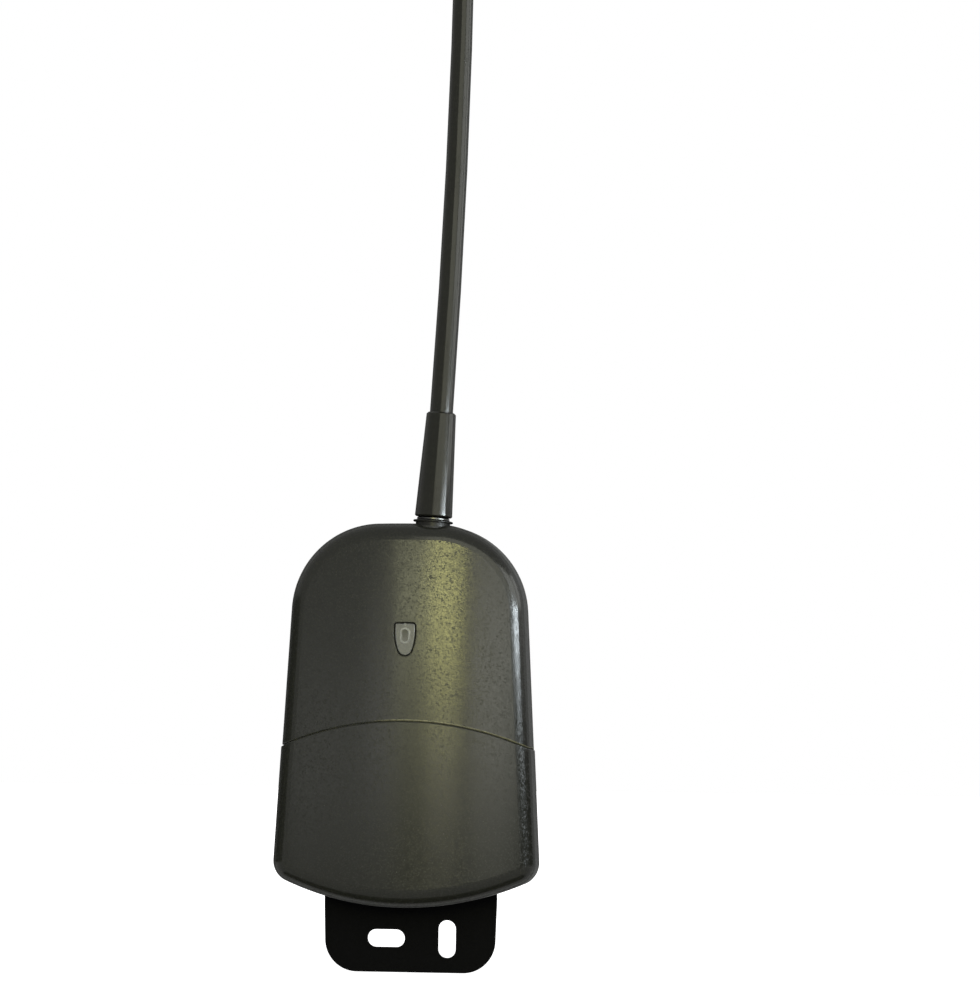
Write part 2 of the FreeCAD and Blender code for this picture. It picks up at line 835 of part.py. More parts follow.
def upper_shell():
    outer = front_form("upper_outer", 0)
    cavity = front_form("upper_cavity", s.wall)
    skin = cut("upper_skin", outer, cavity)
    below = under_seam("upper_cut", -s.seam_gap / 2)
    arch = round_seam("upper_rounded", cut("upper_arch", skin, below), outer)
    lip_outer = s.cover_wall - s.cover_proud + s.lip_clearance
    lip_skin = cut("lip_skin", front_form("lip_outer", lip_outer),
                   front_form("lip_inner", lip_outer + s.lip_thickness))
    lip_top = common("lip_top", lip_skin, under_seam("lip_above", -s.lip_rise))
    lip = cut("seam_lip", lip_top, under_seam("lip_below", s.lip_depth))
    bars = []
    for index, (x, level) in enumerate(boss_places()):
        bars.append(peg(f"boss_bar{index}", x, -SHELL_REAR, level, s.boss_radius, s.housing_depth))
    bars.append(along_antenna("antenna_boss", s.antenna_boss_radius, -s.antenna_boss_depth, 0))
    bosses = common("upper_bosses", group("boss_bars", bars), front_form("boss_limit", s.wall / 2))
    solid = fuse("upper_solid", arch, lip, bosses)
    holes = []
    screw_end = PLATE_FRONT + s.housing_head_sink + s.housing_head_height + s.housing_screw_length
    for index, (x, level) in enumerate(boss_places()):
        holes.append(peg(f"boss_hole{index}", x, -PARTING, level, s.housing_screw_radius + s.screw_clearance,
                         screw_end + s.screw_end_room - PARTING))
    seat = along_antenna("antenna_spot", s.collar_radius + s.collar_play, 0, SLEEVE_BOTTOM)
    hole = along_antenna("antenna_hole", s.barrel_radius + s.barrel_clearance, -s.barrel_length, PAST)
    recess = shield("badge_recess", s.badge_gap, s.housing_depth - s.badge_depth, s.badge_depth + PAST)
    cut("upper_shell", solid, group("boss_holes", holes), seat, hole, recess)


def lower_cover():
    outer = front_form("cover_outer", -s.cover_proud)
    cavity = front_form("cover_cavity", s.cover_wall - s.cover_proud)
    skin = cut("cover_skin", outer, cavity)
    shell = common("cover_shell", skin, under_seam("cover_limit", s.seam_gap / 2))
    shell = round_seam("cover_rounded", shell, outer)
    wing_front = s.rail_front
    wing_rear = s.rail_front - s.rail_wing_thickness
    inner = s.rail_x + s.rail_web / 2 + s.rail_clearance
    height = s.ledge_top - s.ledge_bottom
    ledges = []
    for side in (1, -1):
        x = inner if side > 0 else -s.half_width
        for name, front in (("front", wing_front + s.rail_clearance + s.ledge_thickness),
                            ("rear", wing_rear - s.rail_clearance)):
            ledges.append(box(f"ledge_{name}_{side + 1}", x, -front, s.ledge_bottom,
                              s.half_width - inner, s.ledge_thickness, height))
    middle_of_wall = s.cover_wall / 2 - s.cover_proud
    trimmed = common("cover_ledges", group("ledge_bars", ledges), front_form("ledge_limit", middle_of_wall))
    fuse("lower_cover", shell, trimmed)


def back_shell():
    outer = rear_form("back_outer", 0, PLATE_FRONT, PARTING)
    doc.recompute()
    block = outer.Tip
    rear = min(block.Shape.Faces, key=lambda face: -face.CenterOfMass.y)
    round_edges(outer, block, edges_of_face(block.Shape, rear), s.back_edge_radius)
    cavity = rear_form("back_cavity", s.wall, FLOOR_FRONT, PARTING)
    tray = cut("back_tray", outer, cavity)
    additions = []
    for index, (x, level) in enumerate(boss_places()):
        additions.append(peg(f"back_boss{index}", x, -PLATE_FRONT - s.floor / 2, level, s.boss_radius,
                             s.back_depth - s.floor / 2))
    for index, (x, level) in enumerate(post_places()):
        additions.append(peg(f"back_post{index}", x, -PLATE_FRONT - s.floor / 2, level, s.post_radius,
                             s.post_height + s.floor / 2))
    for index, (x, level) in enumerate(bracket_screw_places()):
        additions.append(peg(f"bracket_boss{index}", x, -PLATE_FRONT - s.floor / 2, level,
                             s.bracket_boss_radius, s.bracket_boss_height + s.floor / 2))
    for side in (1, -1):
        additions.append(rail(side))
    solid = fuse("back_solid", tray, *additions)
    holes = []
    for index, (x, level) in enumerate(boss_places()):
        holes.append(peg(f"back_hole{index}", x, -PLATE_FRONT, level,
                         s.housing_screw_radius + s.screw_clearance, s.back_depth + PAST))
        holes.append(peg(f"back_counterbore{index}", x, -PLATE_FRONT + PAST, level,
                         s.housing_head_radius + s.head_clearance,
                         PAST + s.housing_head_sink + s.housing_head_height))
    for index, (x, level) in enumerate(post_places()):
        holes.append(peg(f"post_hole{index}", x, -FLOOR_FRONT, level,
                         s.board_screw_radius + s.screw_clearance, s.post_height + PAST))
    for index, (x, level) in enumerate(bracket_screw_places()):
        holes.append(peg(f"bracket_hole{index}", x, -PLATE_FRONT + PAST, level,
                         s.bracket_screw_radius + s.screw_clearance, s.bracket_screw_length))
    groove = gasket_ring("gasket_groove", PARTING - s.gasket_groove, s.gasket_groove + PAST)
    cut("back_shell", solid, fuse("back_holes", *holes), inlet_notch(), groove)


def inlet_notch():
    """The square notch in the bottom wall that the grommet slides into from the front.

    The wall is thinned to one thickness round it, inside and outside, where the flanges lie."""
    seat = s.housing_bottom + s.inlet_spot
    neck = s.inlet_slot_half
    spot = s.inlet_flange_radius + s.inlet_play
    front = PARTING + PAST
    tools = []
    for name, half, low, height in (
            ("notch", neck, seat - s.wall, 3 * s.wall),
            ("spot_below", spot, seat - s.wall, s.wall),
            ("spot_above", spot, seat + s.inlet_wall, s.wall)):
        rear = s.inlet_depth - half
        tools.append(box(f"inlet_{name}", -half, -front, low, 2 * half, front - rear, height))
    return fuse("inlet_tools", *tools)


def rail(side):
    """A guide rail: a web from the floor with a wing that points outwards."""
    body = new_body(f"rail{side + 1}")
    sketch = new_sketch(body, f"rail{side + 1}_profile", "XY_Plane", s.rail_bottom)
    inner = s.rail_x - s.rail_web / 2
    outer = s.rail_x + s.rail_web / 2
    wing = inner + s.rail_wing
    rear = -(PLATE_FRONT + s.floor / 2)
    wing_rear = -(s.rail_front - s.rail_wing_thickness)
    polygon(sketch, [(side * inner, rear), (side * inner, -s.rail_front), (side * wing, -s.rail_front),
                     (side * wing, wing_rear), (side * outer, wing_rear), (side * outer, rear)])
    pad(body, sketch, s.rail_top - s.rail_bottom)
    return body


def gasket_ring(name, start, thickness):
    """A strip that follows the outline of the arch, above the cover."""
    ring = new_body(name + "_ring")
    sketch = new_sketch(ring, name + "_outline", "XZ_Plane", start)
    housing_outline(sketch, s.gasket_inset)
    pad(ring, sketch, thickness)
    core = new_body(name + "_core")
    sketch = new_sketch(core, name + "_inner", "XZ_Plane", start - PAST)
    housing_outline(sketch, s.gasket_inset + s.gasket_width)
    pad(core, sketch, thickness + 2 * PAST)
    width = s.half_width * 3
    lower = box(name + "_end", -width / 2, -start - thickness - PAST, s.gasket_end - BEYOND, width,
                thickness + 2 * PAST, BEYOND)
    return cut(name, ring, core, lower)


def housing_gasket():
    gasket_ring("housing_gasket", PARTING - s.gasket_groove, s.gasket_groove + s.parting_gap)


def post_places():
    return [(side * s.post_x, level) for side in (1, -1) for level in (s.post_low, s.post_high)]


def bracket_screw_places():
    return [(side * s.bracket_screw_x, level) for side in (1, -1)
            for level in (s.bracket_screw_low, s.bracket_screw_high)]


def edges_through_plate(feature, level):
    """Names of the plate's edges from its rear to its front face at a level."""
    doc.recompute()
    names = []
    for number, edge in enumerate(feature.Shape.Edges, start=1):
        first, last = edge.Vertexes[0], edge.Vertexes[-1]
        crosses = abs(first.Y - last.Y) > s.plate_thickness.value / 2
        if crosses and abs(edge.CenterOfMass.z - level.value) < 0.001:
            names.append(f"Edge{number}")
    return names


def mounting_bracket():
    body = new_body("plate_blank")
    sketch = new_sketch(body, "plate_outline", "XZ_Plane")
    wide = s.plate_half_width
    narrow = wide - s.plate_taper
    polygon(sketch, [(wide, s.plate_top), (-wide, s.plate_top), (-wide, s.plate_taper_level),
                     (-narrow, -s.plate_bottom), (narrow, -s.plate_bottom), (wide, s.plate_taper_level)])
    blank = pad(body, sketch, s.plate_thickness)
    bottom = round_edges(body, blank, edges_through_plate(blank, -s.plate_bottom), s.plate_corner)
    top = round_edges(body, bottom, edges_through_plate(bottom, s.plate_top), s.plate_top_corner)
    doc.recompute()
    front = min(top.Shape.Faces, key=lambda face: face.CenterOfMass.y)
    round_edges(body, top, edges_of_face(top.Shape, front), s.plate_edge_radius)
    slots = new_body("plate_slots")
    sketch = new_sketch(slots, "plate_slot_outlines", "XZ_Plane", -PAST)
    straight = s.slot_length - s.slot_width
    stadium(sketch, -s.slot_left_x, 0, straight, s.slot_width / 2, upright=False)
    stadium(sketch, s.slot_right_x, 0, straight, s.slot_width / 2, upright=True)
    pad(slots, sketch, s.plate_thickness + 2 * PAST)
    holes = []
    for index, (x, level) in enumerate(bracket_screw_places()):
        holes.append(peg(f"plate_hole{index}", x, PAST, level, s.bracket_screw_radius + s.bracket_hole_play,
                         s.plate_thickness + 2 * PAST))
        holes.append(cone(f"plate_sink{index}", x, 0, level, s.bracket_head_radius + s.bracket_hole_play / 2,
                          s.bracket_screw_radius + s.bracket_hole_play / 2, s.bracket_head_height))
    cut("mounting_bracket", body, slots, fuse("plate_holes", *holes))


def cross_slot(name, x, y, z, reach):
    """A cross recess cut into a screw head, from its deeper or front end towards the wall."""
    width = reach / 4
    first = box(name + "_a", x - reach / 2, y, z - width / 2, reach, s.cross_depth, width)
    second = box(name + "_b", x - width / 2, y, z - reach / 2, width, s.cross_depth, reach)
    return fuse(name, first, second)


def housing_screws():
    """Screws from behind, in counterbores of the back shell."""
    screws = []
    head_rear = PLATE_FRONT + s.housing_head_sink
    for index, (x, level) in enumerate(boss_places()):
        head = peg(f"housing_head{index}", x, -head_rear, level, s.housing_head_radius, s.housing_head_height)
        shank = peg(f"housing_shank{index}", x, -head_rear - s.housing_head_height, level,
                    s.housing_screw_radius, s.housing_screw_length)
        recess = cross_slot(f"housing_cross{index}", x, -head_rear - s.cross_depth, level, s.housing_head_radius)
        screws.append(cut(f"housing_screw{index}", fuse(f"housing_rod{index}", head, shank), recess))
    group("housing_screws", screws)


def bracket_screws():
    """Countersunk screws, flush with the wall face."""
    screws = []
    for index, (x, level) in enumerate(bracket_screw_places()):
        head = cone(f"bracket_head{index}", x, -s.bracket_head_sink, level, s.bracket_head_radius,
                    s.bracket_screw_radius, s.bracket_head_height)
        shank = peg(f"bracket_shank{index}", x, -s.bracket_head_height, level, s.bracket_screw_radius,
                    s.bracket_screw_length - s.bracket_head_height)
        recess = cross_slot(f"bracket_cross{index}", x, -s.cross_depth, level, s.bracket_head_radius)
        screws.append(cut(f"bracket_screw{index}", fuse(f"bracket_rod{index}", head, shank), recess))
    group("bracket_screws", screws)


def board_screws():
    screws = []
    for index, (x, level) in enumerate(post_places()):
        head = peg(f"board_head{index}", x, -BOARD_FRONT, level, s.board_head_radius, s.board_head_height)
        shank = peg(f"board_shank{index}", x, -(BOARD_FRONT - s.board_screw_length), level,
                    s.board_screw_radius, s.board_screw_length)
        recess = cross_slot(f"board_cross{index}", x, -BOARD_FRONT - s.board_head_height, level,
                            s.board_head_radius)
        screws.append(cut(f"board_screw{index}", fuse(f"board_rod{index}", head, shank), recess))
    group("board_screws", screws)


def cable_grommet():
    """A rubber bush in the rear tray's bottom edge: a square neck with a round flange on each side."""
    seat = s.housing_bottom + s.inlet_spot
    inside = s.inlet_wall + s.screw_clearance
    top = inside + s.inlet_flange_height
    rim = s.inlet_flange_radius
    edge = s.inlet_flange_edge
    flanges = revolve("grommet_flanges", [
        (0, -s.inlet_flange_height), (rim - edge, -s.inlet_flange_height), (rim, -s.inlet_flange_height + edge),
        (rim, 0), (s.inlet_bore_radius, 0), (s.inlet_bore_radius, inside), (rim, inside), (rim, top - edge),
        (rim - edge, top), (0, top)])
    place(flanges, 0, -s.inlet_depth, seat)
    half = s.inlet_slot_half - s.screw_clearance
    neck = box("grommet_neck", -half, -PARTING, seat, 2 * half, PARTING - s.inlet_depth + half, inside)
    bore = peg("grommet_bore", 0, -s.inlet_depth, seat - s.inlet_flange_height - PAST, s.inlet_bore_radius,
               top + s.inlet_flange_height + 2 * PAST, direction="up")
    cut("cable_grommet", fuse("grommet_solid", flanges, neck), bore)


def antenna_seal():
    outer = s.collar_radius
    bore = s.barrel_radius + s.screw_clearance
    body = revolve("antenna_seal", [(bore, 0), (outer, 0), (outer, s.seal_thickness), (bore, s.seal_thickness)])
    on_antenna(body)


def antenna_bushing():
    """The antenna's threaded barrel with a collar above the seal and a thin brim."""
    bore = s.stud_radius + s.screw_clearance
    collar = s.collar_radius
    brim = s.brim_radius
    bevel = s.brim_bevel
    body = revolve("antenna_bushing", [
        (bore, -s.barrel_length), (s.barrel_radius - s.barrel_chamfer, -s.barrel_length),
        (s.barrel_radius, s.barrel_chamfer - s.barrel_length), (s.barrel_radius, s.seal_thickness),
        (collar, s.seal_thickness), (collar, COLLAR_TOP), (brim - bevel, COLLAR_TOP), (brim, COLLAR_TOP + bevel),
        (brim, FLANGE_TOP - bevel), (brim - bevel, FLANGE_TOP), (bore, FLANGE_TOP)])
    on_antenna(body)


def antenna_nut():
    """A hexagon nut under the boss inside the housing's top."""
    top = -(s.antenna_boss_depth + s.nut_gap)
    blank = doc.addObject("Part::Prism", "nut_blank")
    blank.Polygon = 6
    bind(blank, "Circumradius", s.nut_flats / 2 / cosine(amount(30)))
    bind(blank, "Height", s.nut_thickness)
    blank.Placement = FreeCAD.Placement(Vector(), FreeCAD.Rotation(Vector(0, 1, 0), 1))
    bind(blank, ".Placement.Rotation.Angle", s.antenna_lean)
    low = top - s.nut_thickness
    place(blank, s.antenna_x + low * sine(s.antenna_lean), -s.antenna_depth,
          s.antenna_seat + low * cosine(s.antenna_lean))
    hole = along_antenna("nut_hole", s.barrel_radius + s.screw_clearance, low - PAST, top + PAST)
    cut("antenna_nut", blank, hole)


def antenna_ferrule():
    """The metal ring under the sleeve, with the stud that joins whip and bushing."""
    ring = s.ring_radius
    stud = s.stud_radius
    chamfer = s.ring_chamfer
    low = s.stud_inset - s.barrel_length
    high = RING_TOP + s.stud_reach
    body = revolve("antenna_ferrule", [
        (0, low), (stud, low), (stud, FLANGE_TOP), (ring - chamfer, FLANGE_TOP), (ring, FLANGE_TOP + chamfer),
        (ring, RING_TOP - chamfer), (ring - chamfer, RING_TOP), (stud, RING_TOP), (stud, high), (0, high)])
    on_antenna(body)


def antenna_sleeve():
    bore = s.whip_radius + s.sleeve_clearance
    foot = s.sleeve_foot_chamfer
    body = revolve("antenna_sleeve", [
        (bore, SLEEVE_BOTTOM), (s.sleeve_bottom_radius - foot, SLEEVE_BOTTOM),
        (s.sleeve_bottom_radius, SLEEVE_BOTTOM + foot), (s.sleeve_top_radius, SLEEVE_TOP - s.sleeve_chamfer),
        (s.sleeve_top_radius - s.sleeve_chamfer, SLEEVE_TOP), (bore, SLEEVE_TOP)])
    on_antenna(body)


def antenna_whip():
    """The rubber-coated rod: straight in its sleeve, then tapered on a slight bend to a round tip."""
    seat = Vector(s.antenna_x.value, -s.antenna_depth.value, s.antenna_seat.value)
    start, straight = SLEEVE_BOTTOM.value, SLEEVE_TOP.value
    radius, tip = s.whip_radius.value, s.whip_tip_radius.value
    end = start + s.whip_length.value - tip
    lean = math.radians(s.antenna_lean.value)
    turn = math.radians(s.antenna_bend.value)
    bend_radius = (end - straight) / turn
    foot = Vector(math.sin(lean), 0, math.cos(lean))
    bend_centre = seat + foot * straight - Vector(math.cos(lean), 0, -math.sin(lean)) * bend_radius

    def station(share):
        """The rod's centre and direction at a share of its bent length."""
        angle = lean - turn * share
        outward = Vector(math.cos(angle), 0, -math.sin(angle))
        return bend_centre + outward * bend_radius, Vector(math.sin(angle), 0, math.cos(angle))

    steps = 4
    rings = []
    for index in range(steps + 1):
        share = index / steps
        centre, axis = station(share)
        rings.append(Part.Wire(Part.makeCircle(radius + (tip - radius) * share, centre, axis)))
    bent = Part.makeLoft(rings, True, True)
    rod = Part.makeCylinder(radius, straight - start, seat + foot * start, foot)
    bore_end = RING_TOP + s.stud_reach + s.stud_end_room
    bore = Part.makeCylinder((s.stud_radius + s.screw_clearance).value, bore_end.value - start,
                             seat + foot * start, foot)
    dome = Part.makeSphere(tip, *station(1), 0, 90)
    whip = doc.addObject("Part::Feature", "antenna_whip")
    whip.Shape = rod.cut(bore).fuse([bent, dome]).removeSplitter()
    whip.Placement = FreeCAD.Placement()


def wire_tube(points, radius):
    """A round wire along straight runs joined by tangent arcs, as large as the runs allow."""
    edges = []
    start = points[0]
    for before, corner, after in zip(points, points[1:], points[2:]):
        into = (corner - before).normalize()
        out = (after - corner).normalize()
        half_turn = into.getAngle(out) / 2
        short = 0.45 * min((corner - before).Length, (after - corner).Length)
        bend = short / math.tan(half_turn)
        print("lead bend radius", round(bend, 2))
        first = corner - into * short
        last = corner + out * short
        inward = (out - into).normalize()
        middle = corner + inward * (bend / math.cos(half_turn) - bend)
        edges.append(Part.LineSegment(start, first).toShape())
        edges.append(Part.Arc(first, middle, last).toShape())
        start = last
    edges.append(Part.LineSegment(start, points[-1]).toShape())
    path = Part.Wire(edges)
    profile = Part.Wire(Part.makeCircle(radius, points[0], points[1] - points[0]))
    tube = path.makePipeShell([profile], True, True)
    print("lead volume ratio", round(tube.Volume / (math.pi * radius ** 2 * path.Length), 4))
    return tube


def antenna_lead():
    """The internal lead from the radio module to the underside of the bushing."""
    radius = s.lead_radius.value
    lean = math.radians(s.antenna_lean.value)
    drop = (s.barrel_length + s.lead_gap).value
    end = Vector(s.antenna_x.value - drop * math.sin(lean), -s.antenna_depth.value,
                 s.antenna_seat.value - drop * math.cos(lean))
    module_top = s.module_level.value + s.module_width.value / 2
    front = (BOARD_FRONT + s.module_rise + s.module_board).value
    can_end = (s.module_x - s.module_length / 2 + s.can_inset + s.can_length).value
    start = Vector(can_end + 3 * radius, -front - radius - s.lead_gap.value, module_top - s.lead_end_inset.value)
    turn = start + Vector(0, 0, s.lead_rise.value)
    points = [start, turn, end - Vector(0, 0, s.lead_drop.value), end]
    lead = doc.addObject("Part::Feature", "antenna_lead")
    lead.Shape = wire_tube(points, radius)
    lead.Placement = FreeCAD.Placement()


# Circuit board and what it carries

def circuit_board():
    body = new_body("board_blank")
    sketch = new_sketch(body, "board_outline", "XZ_Plane", BOARD_REAR)
    half, low, high, corner = s.board_half_width, s.board_bottom, s.board_top, s.board_corner
    polygon(sketch, [(half, low), (half, high - corner), (half - corner, high), (corner - half, high),
                     (-half, high - corner), (-half, low)])
    pad(body, sketch, s.board_thickness)
    holes = [peg(f"board_hole{index}", x, -BOARD_REAR + PAST, level, s.board_hole_radius,
                 s.board_thickness + 2 * PAST) for index, (x, level) in enumerate(post_places())]
    cut("circuit_board", body, group("board_holes", holes))


def terminal_places():
    first = -(s.terminal_ways - 1) * s.terminal_pitch / 2
    return [first + index * s.terminal_pitch for index in range(SIZES["terminal_ways"])]


def terminal_block():
    """A row of screw terminals with a stepped front, wire holes below and screw wells in front."""
    body = new_body("terminal_blank")
    sketch = new_sketch(body, "terminal_profile", "YZ_Plane", -s.terminal_ways * s.terminal_pitch / 2)
    rear = -BOARD_FRONT
    front = rear - s.terminal_height
    low = s.terminal_level - s.terminal_depth / 2
    high = s.terminal_level + s.terminal_depth / 2
    bevel = s.terminal_bevel
    polygon(sketch, [(rear, low), (rear, high), (front + s.terminal_step, high), (front, high - bevel),
                     (front, low + bevel), (front + s.terminal_foot, low)])
    pad(body, sketch, s.terminal_ways * s.terminal_pitch)
    holes = []
    for index, x in enumerate(terminal_places()):
        holes.append(peg(f"wire_hole{index}", x, rear - s.terminal_wire_hole, low - PAST, s.terminal_wire_radius,
                         s.terminal_wire_depth + PAST, direction="up"))
        holes.append(peg(f"screw_well{index}", x, front + s.terminal_well, s.terminal_level,
                         s.terminal_screw_radius + s.terminal_screw_play, s.terminal_well + PAST))
    cut("terminal_block", body, fuse("terminal_holes", *holes))


def terminal_screws():
    screws = []
    seat = BOARD_FRONT + s.terminal_height - s.terminal_well
    top = seat + s.terminal_screw_height
    radius = s.terminal_screw_radius
    for index, x in enumerate(terminal_places()):
        head = peg(f"terminal_head{index}", x, -seat, s.terminal_level, radius, s.terminal_screw_height)
        slot = box(f"terminal_slot{index}", x - radius, -top - PAST, s.terminal_level - s.terminal_slot / 2,
                   2 * radius, s.terminal_slot_depth + PAST, s.terminal_slot)
        screws.append(cut(f"terminal_screw{index}", head, slot))
    group("terminal_screws", screws)


def relay(name, x):
    """A sealed relay case with its upright edges and front rim rounded."""
    body = new_body(name)
    sketch = new_sketch(body, name + "_outline", "XZ_Plane", BOARD_FRONT)
    half = s.relay_width / 2
    low = s.relay_level - s.relay_length / 2
    high = s.relay_level + s.relay_length / 2
    polygon(sketch, [(x - half, low), (x + half, low), (x + half, high), (x - half, high)])
    case = pad(body, sketch, s.relay_height)
    doc.recompute()
    front = min(case.Shape.Faces, key=lambda face: face.CenterOfMass.y)
    round_edges(body, case, edges_of_face(case.Shape, front), s.relay_edge)


def learn_switch():
    half = s.button_body / 2
    case = box("learn_case", s.button_x - half, -BOARD_FRONT - s.button_body_height, s.control_level - half,
               s.button_body, s.button_body_height, s.button_body)
    hole = peg("learn_hole", s.button_x, -BOARD_FRONT - s.button_floor, s.control_level,
               s.button_radius + s.button_clearance, s.button_body_height)
    cut("learn_switch", case, hole)


def learn_button():
    foot = s.button_floor + s.button_travel + s.button_rest
    plunger = peg("learn_stem", s.button_x, -BOARD_FRONT - foot, s.control_level, s.button_radius,
                  s.button_height - foot)
    cap = cone("learn_cap", s.button_x, -(BOARD_FRONT + s.button_height), s.control_level, s.button_radius,
               s.button_radius - s.button_chamfer, s.button_chamfer)
    fuse("learn_button", plunger, cap)


def status_lamp():
    """A small lamp with a base flange and a domed lens."""
    base = peg("lamp_base", s.lamp_x, -BOARD_FRONT, s.control_level, s.lamp_radius + s.lamp_flange,
               s.lamp_flange_height)
    barrel = peg("lamp_barrel", s.lamp_x, -BOARD_FRONT, s.control_level, s.lamp_radius,
                 s.lamp_height - s.lamp_radius)
    dome = doc.addObject("Part::Sphere", "lamp_dome")
    bind(dome, "Radius", s.lamp_radius)
    place(dome, s.lamp_x, -(BOARD_FRONT + s.lamp_height - s.lamp_radius), s.control_level)
    fuse("status_lamp", base, barrel, dome)


def lever_places():
    return [("lever_one", s.switch_x - s.switch_pitch / 2), ("lever_two", s.switch_x + s.switch_pitch / 2)]


def function_switch():
    """A two-way slide switch block with an open window for each lever."""
    case = box("switch_case", s.switch_x - s.switch_width / 2, -BOARD_FRONT - s.switch_height,
               s.control_level - s.switch_length / 2, s.switch_width, s.switch_height, s.switch_length)
    length = s.lever_length + s.lever_travel + 2 * s.lever_clearance
    width = s.lever_width + 2 * s.lever_clearance
    windows = []
    for name, x in lever_places():
        windows.append(box(name + "_window", x - width / 2, -BOARD_FRONT - s.switch_height - PAST,
                           s.control_level - length / 2, width, s.lever_sink + s.lever_clearance + PAST, length))
    cut("function_switch", case, *windows)


def lever(name, x):
    """A lever at the lower end of its window."""
    low = s.control_level - (s.lever_length + s.lever_travel) / 2
    front = BOARD_FRONT + s.switch_height + s.lever_rise
    box(name, x - s.lever_width / 2, -front, low, s.lever_width, s.lever_sink + s.lever_rise, s.lever_length)


def capacitor():
    """A round can with a pressed groove near its foot."""
    radius = s.capacitor_radius
    top = s.capacitor_height
    rim = s.capacitor_rim
    waist = radius - s.capacitor_groove
    low = s.capacitor_groove_level
    high = low + s.capacitor_groove_width
    body = revolve("capacitor", [
        (0, 0), (radius, 0), (radius, low), (waist, low + s.capacitor_groove), (waist, high - s.capacitor_groove),
        (radius, high), (radius, top - rim), (radius - rim, top), (radius - 2 * rim, top),
        (radius - 2 * rim - s.capacitor_top_sink, top - s.capacitor_top_sink), (0, top - s.capacitor_top_sink)])
    body.Placement = FreeCAD.Placement(Vector(), FreeCAD.Rotation(Vector(1, 0, 0), 90))
    place(body, -s.capacitor_x, -BOARD_FRONT, s.control_level)


def microcontroller():
    """A dual in-line package with its notch and two rows of pins."""
    half = s.chip_length / 2
    front = BOARD_FRONT + s.chip_standoff + s.chip_height
    case = box("chip_case", s.chip_x - half, -front, s.chip_level - s.chip_width / 2, s.chip_length,
               s.chip_height, s.chip_width)
    notch = peg("chip_notch", s.chip_x - half, -front + s.chip_notch_depth, s.chip_level, s.chip_notch_radius,
                s.chip_notch_depth + PAST)
    body = cut("chip_body", case, notch)
    pins = []
    step = s.chip_length / SIZES["chip_pins"]
    root = s.chip_width / 2 - s.chip_pin_root
    length = s.chip_pin_root + s.chip_pin_reach
    for index in range(SIZES["chip_pins"]):
        x = s.chip_x - half + (index + 0.5) * step - s.chip_pin_width / 2
        for side, edge in ((1, root), (-1, -root - length)):
            pins.append(box(f"pin{index}_{side + 1}", x, -BOARD_FRONT - s.chip_pin_height, s.chip_level + edge,
                            s.chip_pin_width, s.chip_pin_height, length))
    fuse("microcontroller", body, *pins)


def regulator():
    """A power regulator lying on its metal tab, its three legs down."""
    left = -s.regulator_x - s.regulator_width / 2
    low = s.regulator_level
    tab = box("regulator_tab", left, -BOARD_FRONT - s.regulator_tab_height, low, s.regulator_width,
              s.regulator_tab_height, s.regulator_tab_length)
    case = box("regulator_case", left, -BOARD_FRONT - s.regulator_case_height, low, s.regulator_width,
               s.regulator_case_height, s.regulator_case_length)
    hole = peg("regulator_hole", -s.regulator_x, -BOARD_FRONT + PAST,
               low + s.regulator_tab_length - s.regulator_hole_inset, s.regulator_hole_radius,
               s.regulator_tab_height + 2 * PAST)
    legs = []
    for index in (-1, 0, 1):
        x = -s.regulator_x + index * s.regulator_leg_pitch - s.regulator_leg_width / 2
        legs.append(box(f"regulator_leg{index + 1}", x, -BOARD_FRONT - s.regulator_leg_height,
                        low - s.regulator_leg_length, s.regulator_leg_width, s.regulator_leg_height,
                        s.regulator_leg_length + s.chip_pin_root))
    cut("regulator", fuse("regulator_solid", tab, case, *legs), hole)


def radio_module():
    """A small board on a row of pins, with a screening can."""
    half = s.module_length / 2
    low = s.module_level - s.module_width / 2
    rear = BOARD_FRONT + s.module_rise
    plate = box("module_plate", s.module_x - half, -rear - s.module_board, low, s.module_length,
                s.module_board, s.module_width)
    pins = []
    for index in range(SIZES["module_pins"]):
        x = s.module_x - half + s.module_pin_inset + index * s.module_pin_pitch
        pins.append(box(f"module_pin{index}", x, -rear - s.module_board / 2, low + s.module_pin_width,
                        s.module_pin_width, s.module_rise + s.module_board / 2, s.module_pin_width))
    can = box("module_can", s.module_x - half + s.can_inset, -rear - s.module_board - s.can_height,
              low + s.can_inset, s.can_length, s.can_height, s.module_width - 2 * s.can_inset)
    fuse("radio_module", plate, can, *pins)


def write_parts(names):
    doc.recompute()
    problems = []
    for item in doc.Objects:
        if "Invalid" in item.State or "Error" in item.State:
            problems.append(f"{item.Name}: {item.State}")
    if problems:
        raise RuntimeError("; ".join(problems))
    shapes = {}
    for name in names:
        item = doc.getObject(name)
        item.Label = name
        shape = item.Shape
        if shape.isNull() or not shape.isValid() or not shape.Solids:
            raise RuntimeError(f"{name} has no valid solid")
        shapes[name] = shape
    os.makedirs("parts", exist_ok=True)
    for name, shape in shapes.items():
        shape.exportStep(f"parts/{name}.step")
        print(name, len(shape.Solids), round(shape.Volume, 1))


